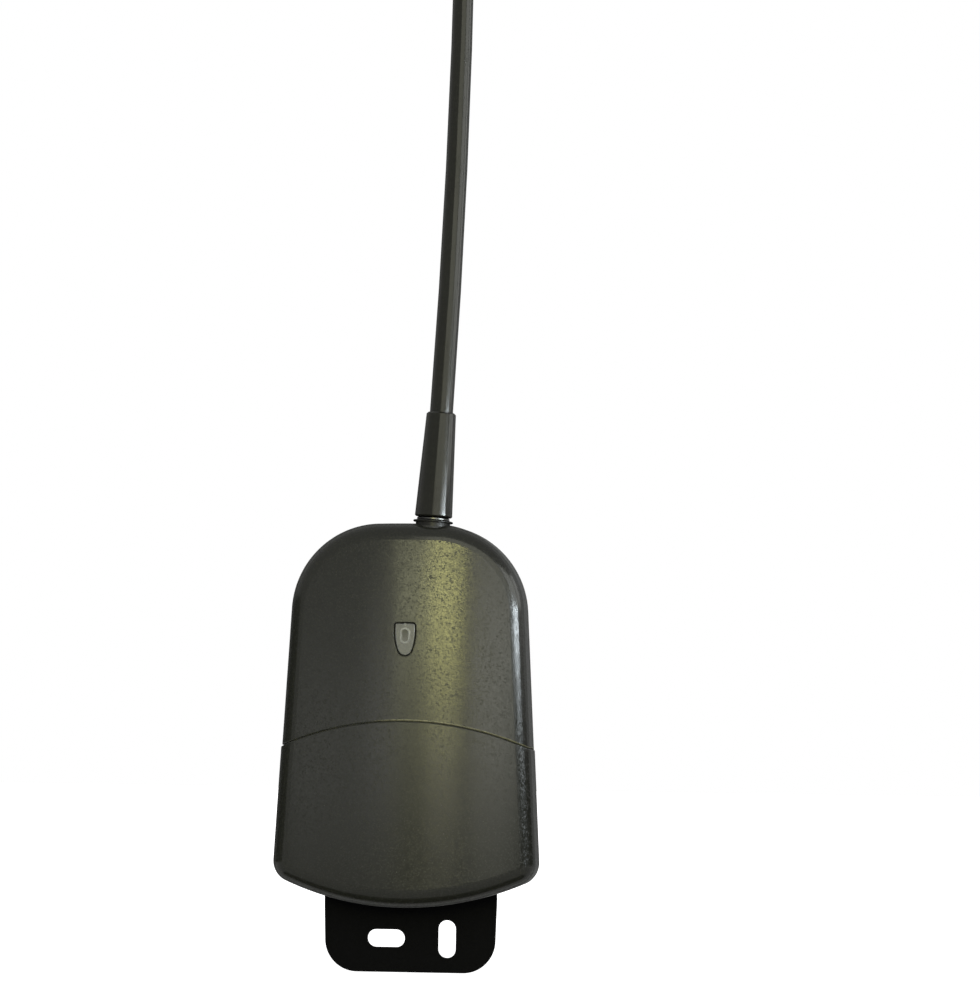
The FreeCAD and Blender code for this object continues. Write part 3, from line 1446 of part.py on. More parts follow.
PIECES = {
    "upper_shell": upper_shell,
    "lower_cover": lower_cover,
    "back_shell": back_shell,
    "housing_gasket": housing_gasket,
    "badge_insert": badge_insert,
    "cable_grommet": cable_grommet,
    "mounting_bracket": mounting_bracket,
    "bracket_screws": bracket_screws,
    "housing_screws": housing_screws,
    "antenna_seal": antenna_seal,
    "antenna_bushing": antenna_bushing,
    "antenna_nut": antenna_nut,
    "antenna_ferrule": antenna_ferrule,
    "antenna_sleeve": antenna_sleeve,
    "antenna_whip": antenna_whip,
    "antenna_lead": antenna_lead,
    "circuit_board": circuit_board,
    "board_screws": board_screws,
    "terminal_block": terminal_block,
    "terminal_screws": terminal_screws,
    "relay_one": lambda: relay("relay_one", -s.relay_one_x),
    "relay_two": lambda: relay("relay_two", -s.relay_two_x),
    "learn_switch": learn_switch,
    "learn_button": learn_button,
    "status_lamp": status_lamp,
    "function_switch": function_switch,
    "lever_one": lambda: lever(*lever_places()[0]),
    "lever_two": lambda: lever(*lever_places()[1]),
    "capacitor": capacitor,
    "microcontroller": microcontroller,
    "regulator": regulator,
    "radio_module": radio_module,
}

for build in PIECES.values():
    build()
write_parts(PIECES)
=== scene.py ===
"""Looks for a gate opener receiver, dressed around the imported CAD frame."""
import math

import bpy
from mathutils import Matrix, Vector


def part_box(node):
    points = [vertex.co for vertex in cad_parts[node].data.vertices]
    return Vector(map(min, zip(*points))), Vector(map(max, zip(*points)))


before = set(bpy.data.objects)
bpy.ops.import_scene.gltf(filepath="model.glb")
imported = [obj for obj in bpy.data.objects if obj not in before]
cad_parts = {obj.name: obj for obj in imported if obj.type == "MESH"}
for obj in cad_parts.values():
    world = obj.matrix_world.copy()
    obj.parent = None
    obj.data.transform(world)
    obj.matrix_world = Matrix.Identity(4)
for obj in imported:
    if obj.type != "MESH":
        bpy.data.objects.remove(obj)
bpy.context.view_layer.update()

MM = 0.001

# Camera, fitted to the photograph's viewing angle. Its turns are in degrees, the sensor in millimetres.
IMAGE_HEIGHT = 981
SENSOR = 36
FOCAL_PIXELS = 3263.9
CAMERA_PLACE = Vector((112.16, -1219.75, 76.2)) * MM
CAMERA_TURN = 3.974
CAMERA_PITCH = 4.269
CAMERA_ROLL = -0.782
CAMERA_REACH = 50

# The floor's own colour, how dark it is for matt rays, and the world's level as light.
FLOOR_COLOUR = (0.86, 0.86, 0.86, 1)
FLOOR_DARK = 0.02
WORLD_LEVEL = 0.34

# The arched seam between the upper shell and the lower cover, the colour of the highlight painted just above
# it, and how far that cover slides down.
SEAM_RADIUS = 113 * MM
SEAM_CENTRE = -32.5 * MM
SEAM_HIGHLIGHT = (0.3, 0.29, 0.2, 1)
COVER_TRAVEL = 60 * MM

# The raised oval on the badge: its level, half its straight part, and its middle radius.
OVAL_LEVEL = 111.45 * MM
OVAL_STRAIGHT = 1.1 * MM
OVAL_RADIUS = 1.5 * MM

# The distance between two ways of the terminal block, and the tracks' pitch on both boards, in millimetres.
TERMINAL_PITCH = 5.08
BOARD_PITCH = 2.54
MODULE_PITCH = 1.27


def turn(axis, degrees):
    """A rotation about one axis."""
    return Matrix.Rotation(math.radians(degrees), 3, axis)


def on_arc(azimuth, height, distance):
    """A place round the object: azimuth in degrees to the right of straight in front."""
    angle = math.radians(azimuth)
    return Vector((distance * math.sin(angle), -distance * math.cos(angle), height))


def tone(colour, factor):
    """A colour made lighter or darker, with its alpha."""
    return tuple(min(1, c * factor) for c in colour[:3]) + (1,)


class Graph:
    """A small helper that adds and links the nodes of one material."""

    def __init__(self, name):
        self.material = bpy.data.materials.new(name)
        self.material.use_nodes = True
        self.tree = self.material.node_tree
        self.shader = self.tree.nodes["Principled BSDF"]
        self.place = self.add("ShaderNodeTexCoord").outputs["Object"]

    def add(self, kind, inputs=None, **settings):
        """One node with its settings, its inputs linked or set."""
        node = self.tree.nodes.new(kind)
        for key, value in settings.items():
            setattr(node, key, value)
        for key, value in (inputs or {}).items():
            self.feed(node.inputs[key], value)
        return node

    def feed(self, socket, value):
        """Links a socket to another node's output, or sets its value."""
        if isinstance(value, bpy.types.NodeSocket):
            self.tree.links.new(value, socket)
        else:
            socket.default_value = value

    def math(self, operation, first, second=0.0, clamp=False):
        """One sum of one or two values."""
        node = self.add("ShaderNodeMath", {0: first, 1: second}, operation=operation, use_clamp=clamp)
        return node.outputs[0]

    def times(self, first, second):
        """The product of two values."""
        return self.math("MULTIPLY", first, second)

    def off(self, value, middle=0.0):
        """How far a value is from a middle one, on either side."""
        return self.math("ABSOLUTE", self.math("SUBTRACT", value, middle))

    def band(self, value, low, high, out_low=0.0, out_high=1.0):
        """Maps a value from one range to another, smoothly and clamped."""
        node = self.add("ShaderNodeMapRange", {"Value": value, "From Min": low, "From Max": high,
                                               "To Min": out_low, "To Max": out_high},
                        interpolation_type="SMOOTHSTEP", clamp=True)
        return node.outputs[0]

    def noise(self, size, detail=3, rough=0.55, stretch=None, warp=0):
        """A noise whose features are about size metres wide."""
        place = self.place
        if stretch:
            place = self.add("ShaderNodeMapping", {"Vector": place, "Scale": stretch}).outputs[0]
        node = self.add("ShaderNodeTexNoise", {"Vector": place, "Scale": 1 / size, "Detail": detail,
                                               "Roughness": rough, "Distortion": warp})
        return node.outputs[0]

    def cells(self, size, output="Distance", jitter=1):
        """Cells about size metres wide."""
        node = self.add("ShaderNodeTexVoronoi", {"Vector": self.place, "Scale": 1 / size,
                                                 "Randomness": jitter}, feature="F1")
        return node.outputs[output]

    def mix(self, share, first, second):
        """Two colours mixed by a share."""
        node = self.add("ShaderNodeMix", data_type="RGBA", blend_type="MIX")
        self.feed(node.inputs[0], share)
        self.feed(node.inputs[6], first)
        self.feed(node.inputs[7], second)
        return node.outputs[2]

    def axes(self, vector=None):
        """The three parts of a vector, or of the place on the object."""
        return self.add("ShaderNodeSeparateXYZ", {0: self.place if vector is None else vector}).outputs

    def length(self, vector):
        """How long a vector is."""
        return self.add("ShaderNodeVectorMath", {0: vector}, operation="LENGTH").outputs["Value"]

    def repeat(self, value, pitch):
        """Runs from 0 to 1 over each pitch, in metres."""
        return self.math("FRACT", self.times(value, 1 / pitch))

    def grazing(self, low, high):
        """0 on faces seen straight on and 1 on faces seen edge on, where a grained moulding looks duller."""
        facing = self.add("ShaderNodeLayerWeight", {"Blend": 0.5}).outputs["Facing"]
        return self.band(facing, low, high)

    def crevices(self, reach):
        """1 on open faces and less inside gaps narrower than reach."""
        return self.add("ShaderNodeAmbientOcclusion", {"Distance": reach}, samples=6).outputs["AO"]

    def past_seam(self):
        """How far a point lies above the seam's arc, in metres."""
        flat = self.add("ShaderNodeMapping", {"Vector": self.place, "Location": (0, 0, -SEAM_CENTRE),
                                              "Scale": (1, 0, 1)}).outputs[0]
        return self.math("SUBTRACT", self.length(flat), SEAM_RADIUS)

    def past_oval(self):
        """How far a point lies outside the badge's oval, and how high above its middle, in metres."""
        split = self.axes()
        above = self.math("SUBTRACT", split[2], OVAL_LEVEL)
        past = self.math("SUBTRACT", self.off(above), OVAL_STRAIGHT)
        corner = self.add("ShaderNodeCombineXYZ", {0: split[0], 2: self.math("MAXIMUM", past, 0)}).outputs[0]
        return self.math("SUBTRACT", self.length(corner), OVAL_RADIUS), above

    def edges(self, radius, reach):
        """1 on sharp outer edges and 0 on flat faces."""
        rounded = self.add("ShaderNodeBevel", {"Radius": radius}, samples=4).outputs[0]
        plain = self.add("ShaderNodeNewGeometry").outputs["Normal"]
        dot = self.add("ShaderNodeVectorMath", {0: rounded, 1: plain}, operation="DOT_PRODUCT")
        return self.band(self.math("SUBTRACT", 1, dot.outputs["Value"]), 0.02, reach)


def bump(graph, layers, rounding=0.0):
    """Several bump layers in a chain: height, distance in metres, over edges softened by a small rounding."""
    normal = graph.add("ShaderNodeBevel", {"Radius": rounding}, samples=4).outputs[0] if rounding else None
    for height, depth in layers:
        inputs = {"Height": height, "Distance": depth, "Strength": 1}
        if normal is not None:
            inputs["Normal"] = normal
        normal = graph.add("ShaderNodeBump", inputs).outputs[0]
    graph.feed(graph.shader.inputs["Normal"], normal)


def painted_seam_light(g, base, shade, colour):
    """Painted light at the seam: lifts the shade in the seam's walls with a lighter colour, and paints a
    broken highlight line just above it, brighter in the middle.
    """
    past = g.past_seam()
    # Painted light: the shade in the seam's walls is lifted with a lighter colour.
    wall = g.times(g.band(g.off(past), 0.3 * MM, 0.6 * MM, 1, 0), g.band(shade, 0.4, 0.9, 1, 0))
    base = g.mix(wall, base, tone(colour, 4))
    # Painted highlight: a broken light line just above the seam, strongest in the middle.
    across = g.axes()[0]
    lit = g.times(g.band(across, -14 * MM, 1 * MM), g.band(across, 12 * MM, 24 * MM, 1, 0.7))
    line = g.times(g.band(past, 0.45 * MM, 0.75 * MM, 1, 0), g.math("GREATER_THAN", past, 0))
    line = g.times(line, g.band(g.noise(1.5 * MM, 3, 0.7), 0.3, 0.55, 0.5, 1))
    return g.mix(g.times(line, lit), base, SEAM_HIGHLIGHT)


def painted_oval_shade_and_highlight(g, base, colour):
    """Painted shade inside the badge's oval, darker towards its top, and a painted highlight on the ring
    itself.
    """
    past, above = g.past_oval()
    # Painted shade inside the oval, darker towards its top.
    inside = g.times(g.band(past, -0.5 * MM, -0.2 * MM, 1, 0), g.band(above, -2 * MM, 2 * MM, 0.25, 0.85))
    base = g.mix(inside, base, tone(colour, 0.2))
    # Painted highlight on the ring.
    ring_highlight = g.band(g.off(past), 0.15 * MM, 0.35 * MM, 1, 0)
    ring_highlight = g.times(ring_highlight, g.band(g.noise(1.2 * MM, 2), 0.3, 0.6, 0.4, 0.9))
    return g.mix(ring_highlight, base, tone(colour, 2.6))


def grooves(g, base, colour, pitch):
    """Upright grooves between the ways of a block, drawn darker as painted shade. Gives the colour and the
    grooves' height.
    """
    groove = g.band(g.off(g.repeat(g.axes()[0], pitch * MM), 0.5), 0.465, 0.485)
    # Painted shade in the grooves.
    return g.mix(g.times(groove, 0.7), base, tone(colour, 0.3)), groove


def speckle(g, base, rough_value, colour, specks):
    """Sparse light specks, and fine lighter or darker flecks. Gives the colour and the roughness."""
    dots = g.band(g.cells(2.1 * MM), 0.0, 0.12, 1, 0)
    chosen = g.band(g.noise(3.4 * MM, 1), 0.56, 0.62)
    base = g.mix(g.times(g.times(dots, chosen), specks), base, tone(colour, 4.5))
    fleck = g.add("ShaderNodeSeparateColor", {0: g.cells(0.45 * MM, "Color")}).outputs[0]
    base = g.mix(g.times(g.band(fleck, 0.86, 0.96), specks * 0.5), base, tone(colour, 1.7))
    base = g.mix(g.times(g.band(fleck, 0.14, 0.04), specks * 0.6), base, tone(colour, 0.5))
    return base, g.math("ADD", rough_value, g.band(fleck, 0.3, 0.0, 0, specks * 0.25), True)


def scratches(g, base, colour, scratch):
    """Thin light scratches in a few places. Gives the colour and the scratches' height."""
    lines = g.noise(5 * MM, 3, 0.6, (0.25, 2.2, 3.4), 0.8)
    thin = g.times(g.band(g.off(lines, 0.5), 0.0, 0.006, 1, 0), g.band(g.noise(14 * MM, 1), 0.55, 0.65))
    return g.mix(g.times(thin, scratch), base, tone(colour, 2.6)), thin


def worn_and_highlit_edges(g, base, rough_value, colour, wear_and_highlight, reach):
    """Lighter and smoother outer edges: partly wear, partly a painted highlight along the edges. Gives the
    colour and the roughness.
    """
    worn = g.times(g.edges(0.5 * MM, reach), g.band(g.noise(2.5 * MM, 4, 0.7), 0.35, 0.6, 0.35, 1))
    # Painted highlight and wear: the edges get a lighter colour.
    base = g.mix(g.times(worn, wear_and_highlight), base, tone(colour, 3.2))
    return base, g.math("SUBTRACT", rough_value, g.times(worn, 0.12), True)


def moulded(name, colour, rough, level=0.5, mottle=0.1, grain=0.5, depth=0.01, specks=0, scratch=0, wear_and_highlight=0,
            blotch=18, sheen=0, spread=0.1, rounding=0, cloud=1.6, shaded_gap=1.5, reach=0.35, seam=False,
            oval=False, pitch=0):
    """A moulded or coated finish: mottled colour, pebbled grain, and what else its entry asks for.

    In millimetres: the widths of grain, blotch and cloud, the grain's depth, the rounding of the edges,
    the width of gaps painted darker inside as shade, and the pitch of the grooves. level is the specular
    level, spread says how much the roughness varies, and reach how sharp an edge has to be to look worn and
    carry a painted highlight.
    """
    g = Graph(name)
    blotches = g.noise(blotch * MM, 2)
    clouds = g.noise(cloud * MM, 4, 0.6)
    fine = g.noise(grain * MM, 3, 0.7)
    shade = g.crevices(shaded_gap * MM)
    base = g.mix(blotches, tone(colour, 1 - mottle), tone(colour, 1 + mottle))
    base = g.mix(g.band(clouds, 0.35, 0.7, 0, 0.6), base, tone(colour, 1 + 2 * mottle))
    # Painted shade: the colour darkens inside narrow gaps, as occlusion finds them.
    base = g.mix(g.band(shade, 0.15, 0.85), tone(colour, 0.1), base)
    rough_value = g.math("ADD", g.band(clouds, 0.3, 0.7, rough * (1 - spread), rough * (1 + spread)),
                         g.band(fine, 0.3, 0.7, -spread * rough, spread * rough))
    rough_value = g.math("ADD", rough_value, g.times(g.grazing(0.35, 0.7), 0.5), True)
    rough_value = g.math("ADD", rough_value, g.band(shade, 0.2, 0.8, 0.5, 0), True)
    layers = [(fine, depth * MM), (clouds, depth * MM * 0.5)]
    # Painted light at the seam, and painted shade and a painted highlight on the badge's oval, where the
    # entry asks for them.
    if seam:
        base = painted_seam_light(g, base, shade, colour)
    if oval:
        base = painted_oval_shade_and_highlight(g, base, colour)
    if pitch:
        base, groove = grooves(g, base, colour, pitch)
        layers.append((groove, -0.1 * MM))
    if specks:
        base, rough_value = speckle(g, base, rough_value, colour, specks)
    if scratch:
        base, thin = scratches(g, base, colour, scratch)
        layers.append((thin, -depth * MM * 2))
    if wear_and_highlight:
        base, rough_value = worn_and_highlit_edges(g, base, rough_value, colour, wear_and_highlight, reach)
    inputs = g.shader.inputs
    g.feed(inputs["Base Color"], base)
    g.feed(inputs["Roughness"], rough_value)
    inputs["Specular IOR Level"].default_value = level
    inputs["Sheen Weight"].default_value = sheen
    bump(g, layers, rounding * MM)
    return g.material


def metal(name, colour, rough, brush=(1, 1, 12)):
    """A plated or turned metal: brushed grain, tarnish and small pits, with painted shade in its recesses."""
    g = Graph(name)
    streaks = g.noise(0.6 * MM, 4, 0.6, brush)
    stain = g.noise(3 * MM, 3, 0.6)
    pits = g.band(g.cells(1.1 * MM), 0.0, 0.16, 1, 0)
    pits = g.times(pits, g.band(g.noise(2 * MM, 1), 0.55, 0.62, 0, 0.15))
    base = g.mix(g.band(stain, 0.4, 0.75, 0, 0.25), tone(colour, 1), tone(colour, 0.55))
    base = g.mix(g.band(streaks, 0.3, 0.7, 0, 0.3), base, tone(colour, 1.25))
    base = g.mix(pits, base, tone(colour, 0.3))
    # Painted shade: darker inside recesses, as occlusion finds them.
    base = g.mix(g.band(g.crevices(1.2 * MM), 0.3, 0.95), tone(colour, 0.06), base)
    brushed = g.band(streaks, 0.3, 0.7, rough * 0.75, rough * 1.25)
    inputs = g.shader.inputs
    g.feed(inputs["Base Color"], base)
    g.feed(inputs["Roughness"], g.math("ADD", brushed, g.times(pits, 0.4), True))
    inputs["Metallic"].default_value = 1
    bump(g, [(streaks, 0.006 * MM), (pits, -0.01 * MM)])
    return g.material


def laminate(name, mask, copper, pitch):
    """A circuit board: solder mask over faint tracks that run across in some cells and upwards in others."""
    g = Graph(name)
    split = g.axes()
    cell = g.axes(g.cells(6 * MM, "Position", 0.6))
    upwards = g.math("GREATER_THAN", g.math("FRACT", g.times(g.math("ADD", cell[0], cell[2]), 97)), 0.5)
    pick = g.add("ShaderNodeMix", data_type="FLOAT")
    g.feed(pick.inputs[0], upwards)
    g.feed(pick.inputs[2], g.repeat(split[0], pitch * MM))
    g.feed(pick.inputs[3], g.repeat(split[2], pitch * MM))
    track = g.band(g.off(pick.outputs[0], 0.5), 0.12, 0.2, 1, 0)
    cloth = g.noise(0.5 * MM, 2)
    clouds = g.noise(9 * MM, 3)
    base = g.mix(clouds, tone(mask, 0.85), tone(mask, 1.15))
    inputs = g.shader.inputs
    g.feed(inputs["Base Color"], g.mix(g.times(track, 0.55), base, copper))
    g.feed(inputs["Roughness"], g.band(clouds, 0.3, 0.7, 0.28, 0.4))
    bump(g, [(track, 0.03 * MM), (cloth, 0.008 * MM)])
    return g.material


def lens(name, colour, rough):
    """A tinted clear plastic."""
    g = Graph(name)
    clouds = g.noise(1.2 * MM, 3)
    inputs = g.shader.inputs
    g.feed(inputs["Base Color"], g.mix(clouds, tone(colour, 0.85), tone(colour, 1.1)))
    g.feed(inputs["Roughness"], g.band(clouds, 0.3, 0.7, rough, rough * 2))
    inputs["Transmission Weight"].default_value = 0.6
    bump(g, [(clouds, 0.01 * MM)])
    return g.material


# Moulded and coated finishes, each with what differs from moulded's own values.
MOULDED = {
    # The housing gets painted light along its seam, and its wear setting also paints highlights on its edges.
    "housing_plastic": dict(colour=(0.022, 0.0229, 0.021), rough=0.15, level=0.15, mottle=0.12, grain=0.35,
                            depth=0.0065, specks=0.8, wear_and_highlight=0.5, spread=0.3, rounding=0.3, cloud=0.9,
                            seam=True),
    # The back shell's sharp edges get a light line from the wear setting, partly a painted highlight.
    "back_plastic": dict(colour=(0.035, 0.035, 0.032), rough=0.5, level=0.3, mottle=0.15, grain=0.3,
                         depth=0.03, specks=0.1, scratch=0.25, wear_and_highlight=1, reach=0.1, shaded_gap=0.4),
    "seal_rubber": dict(colour=(0.012, 0.012, 0.012), rough=0.7, level=0.3, mottle=0.2, grain=0.25,
                        depth=0.02, sheen=0.1),
    # The badge gets painted shade and a painted highlight on its oval, and a painted highlight on its edges
    # from the wear setting.
    "badge_plastic": dict(colour=(0.122, 0.126, 0.134), rough=0.2, level=0.13, mottle=0.25, wear_and_highlight=1,
                          blotch=2, cloud=0.8, shaded_gap=0.7, reach=0.1, rounding=0.15, oval=True),
    # Painted shadow: the wide occlusion reach darkens the bracket's colour near the housing above it.
    "bracket_paint": dict(colour=(0.0046, 0.0047, 0.0056), rough=0.45, level=0.01, mottle=0.2, grain=0.4,
                          depth=0.02, specks=0.1, scratch=0.2, wear_and_highlight=0.8, shaded_gap=22),
    "bushing_plastic": dict(colour=(0.011, 0.011, 0.0105), rough=0.35, level=0.13, mottle=0.15, wear_and_highlight=0.3),
    "antenna_rubber": dict(colour=(0.015, 0.0155, 0.013), rough=0.08, level=0.13, mottle=0.15, specks=0.2,
                           scratch=0.3),
    "whip_rubber": dict(colour=(0.016, 0.0165, 0.014), rough=0.09, level=0.13, mottle=0.15, specks=0.1,
                        scratch=0.3),
    "lead_insulation": dict(colour=(0.015, 0.015, 0.015), rough=0.45, level=0.4, mottle=0.15, grain=0.4),
    "terminal_plastic": dict(colour=(0.03, 0.16, 0.05), rough=0.38, specks=0.1, wear_and_highlight=0.3,
                             pitch=TERMINAL_PITCH),
    "relay_plastic": dict(colour=(0.02, 0.02, 0.022), rough=0.35, mottle=0.12, specks=0.1, wear_and_highlight=0.3),
    "button_plastic": dict(colour=(0.02, 0.02, 0.02), rough=0.4, grain=0.4, wear_and_highlight=0.4),
    "switch_plastic": dict(colour=(0.35, 0.03, 0.025), rough=0.38, grain=0.4, wear_and_highlight=0.2),
    "lever_plastic": dict(colour=(0.75, 0.74, 0.68), rough=0.42, mottle=0.06, grain=0.4, wear_and_highlight=0.1),
    "capacitor_can": dict(colour=(0.03, 0.03, 0.05), rough=0.3, wear_and_highlight=0.3),
    "chip_plastic": dict(colour=(0.022, 0.022, 0.022), rough=0.55, level=0.4, grain=0.2, wear_and_highlight=0.2),
    "regulator_plastic": dict(colour=(0.02, 0.02, 0.02), rough=0.5, level=0.4, grain=0.2, wear_and_highlight=0.2),
}

# Metals: colour and roughness, and for turned ones how the brushing is stretched.
METALS = {
    "screw_steel": ((0.3, 0.3, 0.29), 0.4),
    "nut_brass": ((0.62, 0.45, 0.2), 0.35),
    "ferrule_metal": ((0.06, 0.06, 0.057), 0.28, (1, 1, 14)),
    "switch_metal": ((0.33, 0.33, 0.32), 0.42),
}

# Circuit boards: solder mask, tracks and pitch.
LAMINATES = {
    "board_laminate": ((0.02, 0.12, 0.045), (0.06, 0.22, 0.08, 1), BOARD_PITCH),
    "module_laminate": ((0.015, 0.05, 0.12), (0.05, 0.1, 0.2, 1), MODULE_PITCH),
}

FINISHES = {"lamp_lens": lens("lamp_lens", (0.55, 0.03, 0.02), 0.1)}
FINISHES.update((name, moulded(name, **look)) for name, look in MOULDED.items())
FINISHES.update((name, metal(name, *look)) for name, look in METALS.items())
FINISHES.update((name, laminate(name, *look)) for name, look in LAMINATES.items())

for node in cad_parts.values():
    for index, old in enumerate(node.data.materials):
        node.data.materials[index] = FINISHES[old.name.split(".")[0]]


def area_light(name, place, target, width, height, radiance, colour, matt=True, gloss=True):
    """A rectangular lamp that faces a point, lights matt or glossy surfaces or both, and is never seen."""
    data = bpy.data.lights.new(name, "AREA")
    data.shape = "RECTANGLE"
    data.size = width
    data.size_y = height
    data.energy = radiance * math.pi * width * height
    data.color = colour
    lamp = bpy.data.objects.new(name, data)
    lamp.location = place
    lamp.rotation_euler = (place - target).to_track_quat("Z", "Y").to_euler()
    lamp.visible_diffuse = matt
    lamp.visible_glossy = gloss
    lamp.visible_camera = False
    bpy.context.scene.collection.objects.link(lamp)


def light_column(name, azimuth, distance, width, radiance, colour, steps, matt=False):
    """A tall lamp in steps, one above the other, each with a share of its radiance."""
    for index, (bottom, top, share) in enumerate(steps):
        place = on_arc(azimuth, (bottom + top) / 2, distance)
        target = Vector((0, 0, place.z))
        area_light(f"{name}_{index}", place, target, width, top - bottom, radiance * share, colour, matt)


# The lamps' steps, in metres: bottom level, top level, and share of the lamp's radiance.
HIGH = ((0.15, 0.24, 1), (0.115, 0.15, 0.54), (0.09, 0.115, 0.42))
LOW = ((0.03, 0.09, 0.16), (-0.05, 0.03, 0.05))
LEFT = ((0.12, 0.18, 0.3), (0.03, 0.12, 1), (-0.05, 0.03, 0.7))
RIGHT = ((0.16, 0.24, 0.76), (0.09, 0.16, 1), (0.03, 0.09, 0.73), (-0.05, 0.03, 0.26))
SLEEVE = ((0.24, 0.32, 1),)
WHIP = ((0.32, 0.7, 1),)

# The lamps: azimuth, distance, width, radiance, colour, steps, and True if it lights matt surfaces too.
LAMPS = {
    "warm_key": (4.1, 1.35, 0.178, 37, (1, 0.97, 0.38), HIGH, True),
    "warm_low": (4.1, 1.35, 0.178, 41, (1, 0.98, 0.85), LOW, True),
    "warm_side": (-3.6, 1.35, 0.2, 12.5, (1, 1, 0.62), HIGH + LOW, True),
    "soft_side": (-11, 1.35, 0.16, 1.6, (1, 1, 0.97), ((0.03, 0.18, 1),)),
    "soft_left": (-19, 1.35, 0.6, 1.6, (1, 1, 0.97), LEFT),
    "soft_right": (15.5, 1.35, 0.26, 9.5, (1, 1, 0.86), RIGHT, True),
    "dim_right": (27, 1.2, 0.26, 6, (0.95, 1, 0.95), ((0.12, 0.24, 1),)),
    "cool_window": (48, 1.0, 0.64, 36, (0.86, 0.95, 1), ((0.142, 0.178, 1),)),
    "cool_upper": (61, 1.0, 0.6, 150, (0.86, 0.95, 1), ((0.188, 0.221, 1),)),
    "sleeve_right": (33, 1.1, 1.5, 4.4, (1, 1, 0.8), SLEEVE),
    "sleeve_line": (79, 1.1, 0.2, 9, (0.98, 1, 0.92), SLEEVE),
    "high_right": (20, 1.1, 0.9, 4.6, (1, 1, 0.8), WHIP),
    "high_side": (64, 1.1, 0.7, 7.8, (0.98, 1, 0.93), WHIP),
    "high_edge": (97, 1.1, 0.46, 5.5, (0.98, 1, 0.95), ((0.24, 0.7, 1),)),
}
for name, values in LAMPS.items():
    light_column(name, *values)

# Two broad lamps that light only matt surfaces, in front and behind.
MIDDLE = Vector((0, -0.04, 0.09))
area_light("front_fill", on_arc(-14, 0.35, 1.4), MIDDLE, 0.9, 0.9, 1.0, (1, 1, 0.97), gloss=False)
area_light("rear_fill", on_arc(170, 0.4, 1.4), MIDDLE, 0.9, 0.9, 0.9, (1, 1, 1), gloss=False)


def background(tree, colour, level, shown):
    """A world whose backdrop is white to the camera, in gloss and through glass, and dimmer as light."""
    rays = tree.nodes.new("ShaderNodeLightPath").outputs
    seen = rays["Is Camera Ray"]
    for kind in ("Is Glossy Ray", "Is Transmission Ray"):
        either = tree.nodes.new("ShaderNodeMath")
        either.operation = "MAXIMUM"
        tree.links.new(seen, either.inputs[0])
        tree.links.new(rays[kind], either.inputs[1])
        seen = either.outputs[0]
    strength = tree.nodes.new("ShaderNodeMapRange")
    strength.inputs["To Min"].default_value = level
    strength.inputs["To Max"].default_value = shown
    tree.links.new(seen, strength.inputs["Value"])
    sky = tree.nodes["Background"]
    sky.inputs["Color"].default_value = colour
    tree.links.new(strength.outputs[0], sky.inputs["Strength"])


world = bpy.data.worlds.new("studio")
world.use_nodes = True
bpy.context.scene.world = world
background(world.node_tree, (1, 1, 1, 1), WORLD_LEVEL, 1)


def sheet(name, corners, material):
    """A flat sheet with four corners and one material."""
    mesh = bpy.data.meshes.new(name)
    mesh.from_pydata(corners, [], [(0, 1, 2, 3)])
    mesh.materials.append(material)
    obj = bpy.data.objects.new(name, mesh)
    bpy.context.scene.collection.objects.link(obj)
    return obj


def level_corners(half, front, rear, level):
    """The corners of a level rectangle, half its width to either side."""
    return [(-half, front, level), (half, front, level), (half, rear, level), (-half, rear, level)]


def make_floor(level, half):
    """A wide pale floor that keeps the shadow: white in gloss, and dark to matt rays near the object."""
    g = Graph("floor_paper")
    clouds = g.noise(0.2, 2)
    rays = g.add("ShaderNodeLightPath").outputs
    away = g.length(g.place)
    paper = g.mix(clouds, tone(FLOOR_COLOUR, 0.99), tone(FLOOR_COLOUR, 1.01))
    below = g.times(rays["Is Diffuse Ray"], g.band(away, 0.2, 0.34, 1, 0))
    lift = g.math("MAXIMUM", g.math("MAXIMUM", rays["Is Camera Ray"], rays["Is Glossy Ray"]),
                  rays["Is Transmission Ray"])
    inputs = g.shader.inputs
    g.feed(inputs["Base Color"], g.mix(below, paper, tone(FLOOR_COLOUR, FLOOR_DARK)))
    inputs["Roughness"].default_value = 0.9
    inputs["Specular IOR Level"].default_value = 0.1
    inputs["Emission Color"].default_value = (1, 1, 1, 1)
    g.feed(inputs["Emission Strength"], g.times(lift, g.band(away, 0.2, 1.2, 0.72, 1.2)))
    return sheet("floor", level_corners(half, -half, half, level), g.material)


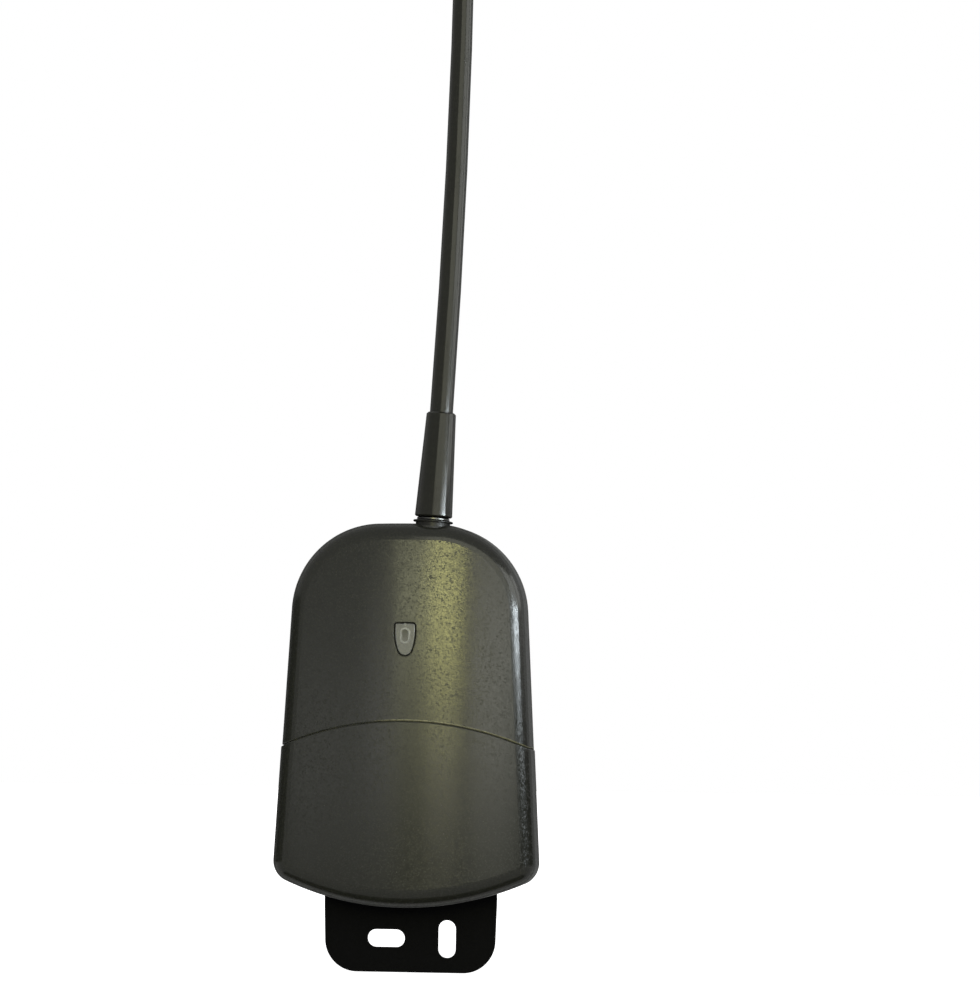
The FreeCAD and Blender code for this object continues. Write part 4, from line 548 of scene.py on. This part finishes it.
def dark_card(name, corners):
    """A black card, hidden from all but the glossy rays."""
    g = Graph(name)
    g.shader.inputs["Base Color"].default_value = (0.01, 0.01, 0.01, 1)
    g.shader.inputs["Specular IOR Level"].default_value = 0
    card = sheet(name, corners, g.material)
    card.visible_camera = False
    card.visible_diffuse = False
    card.visible_transmission = False
    card.visible_shadow = False
    return card


def make_card(name, azimuth, distance, width, low, high):
    """A card that stands beside the object, and only darkens what the glossy faces reflect."""
    centre = on_arc(azimuth, 0, distance)
    along = on_arc(azimuth + 90, 0, width / 2)
    bottom = Vector((0, 0, low))
    top = Vector((0, 0, high))
    return dark_card(name, [centre - along + bottom, centre + along + bottom,
                            centre + along + top, centre - along + top])


def flat_card(name, half, front, rear, level):
    """A card that lies on the floor, seen only in the gloss of the object's lower edges."""
    return dark_card(name, level_corners(half, front, rear, level))


low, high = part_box("lower_cover")
floor_level = low.z - COVER_TRAVEL - 0.5 * MM
make_floor(floor_level, 6)
flat_card("front_card", 0.9, -2.5, -0.6, floor_level + 1 * MM)
flat_card("under_card", 0.12, -0.08, -0.03, floor_level + 1 * MM)
make_card("right_card", 128, 0.7, 1.0, floor_level, 0.112)
make_card("lower_right_card", 66, 0.72, 0.95, floor_level, 0.105)
make_card("left_card", -105, 0.7, 1.65, floor_level, 0.25)

lens_data = bpy.data.cameras.new("camera")
lens_data.sensor_fit = "VERTICAL"
lens_data.sensor_height = SENSOR
lens_data.lens = FOCAL_PIXELS * SENSOR / IMAGE_HEIGHT
lens_data.clip_end = CAMERA_REACH
camera = bpy.data.objects.new("camera", lens_data)
bpy.context.scene.collection.objects.link(camera)
facing = turn("Z", CAMERA_TURN) @ turn("X", CAMERA_PITCH) @ turn("Y", CAMERA_ROLL)
right, forward, up = facing.col[0], facing.col[1], facing.col[2]
camera.matrix_world = Matrix.Translation(CAMERA_PLACE) @ Matrix((right, up, -forward)).transposed().to_4x4()
bpy.context.scene.camera = camera
bpy.context.scene.view_settings.view_transform = "Standard"
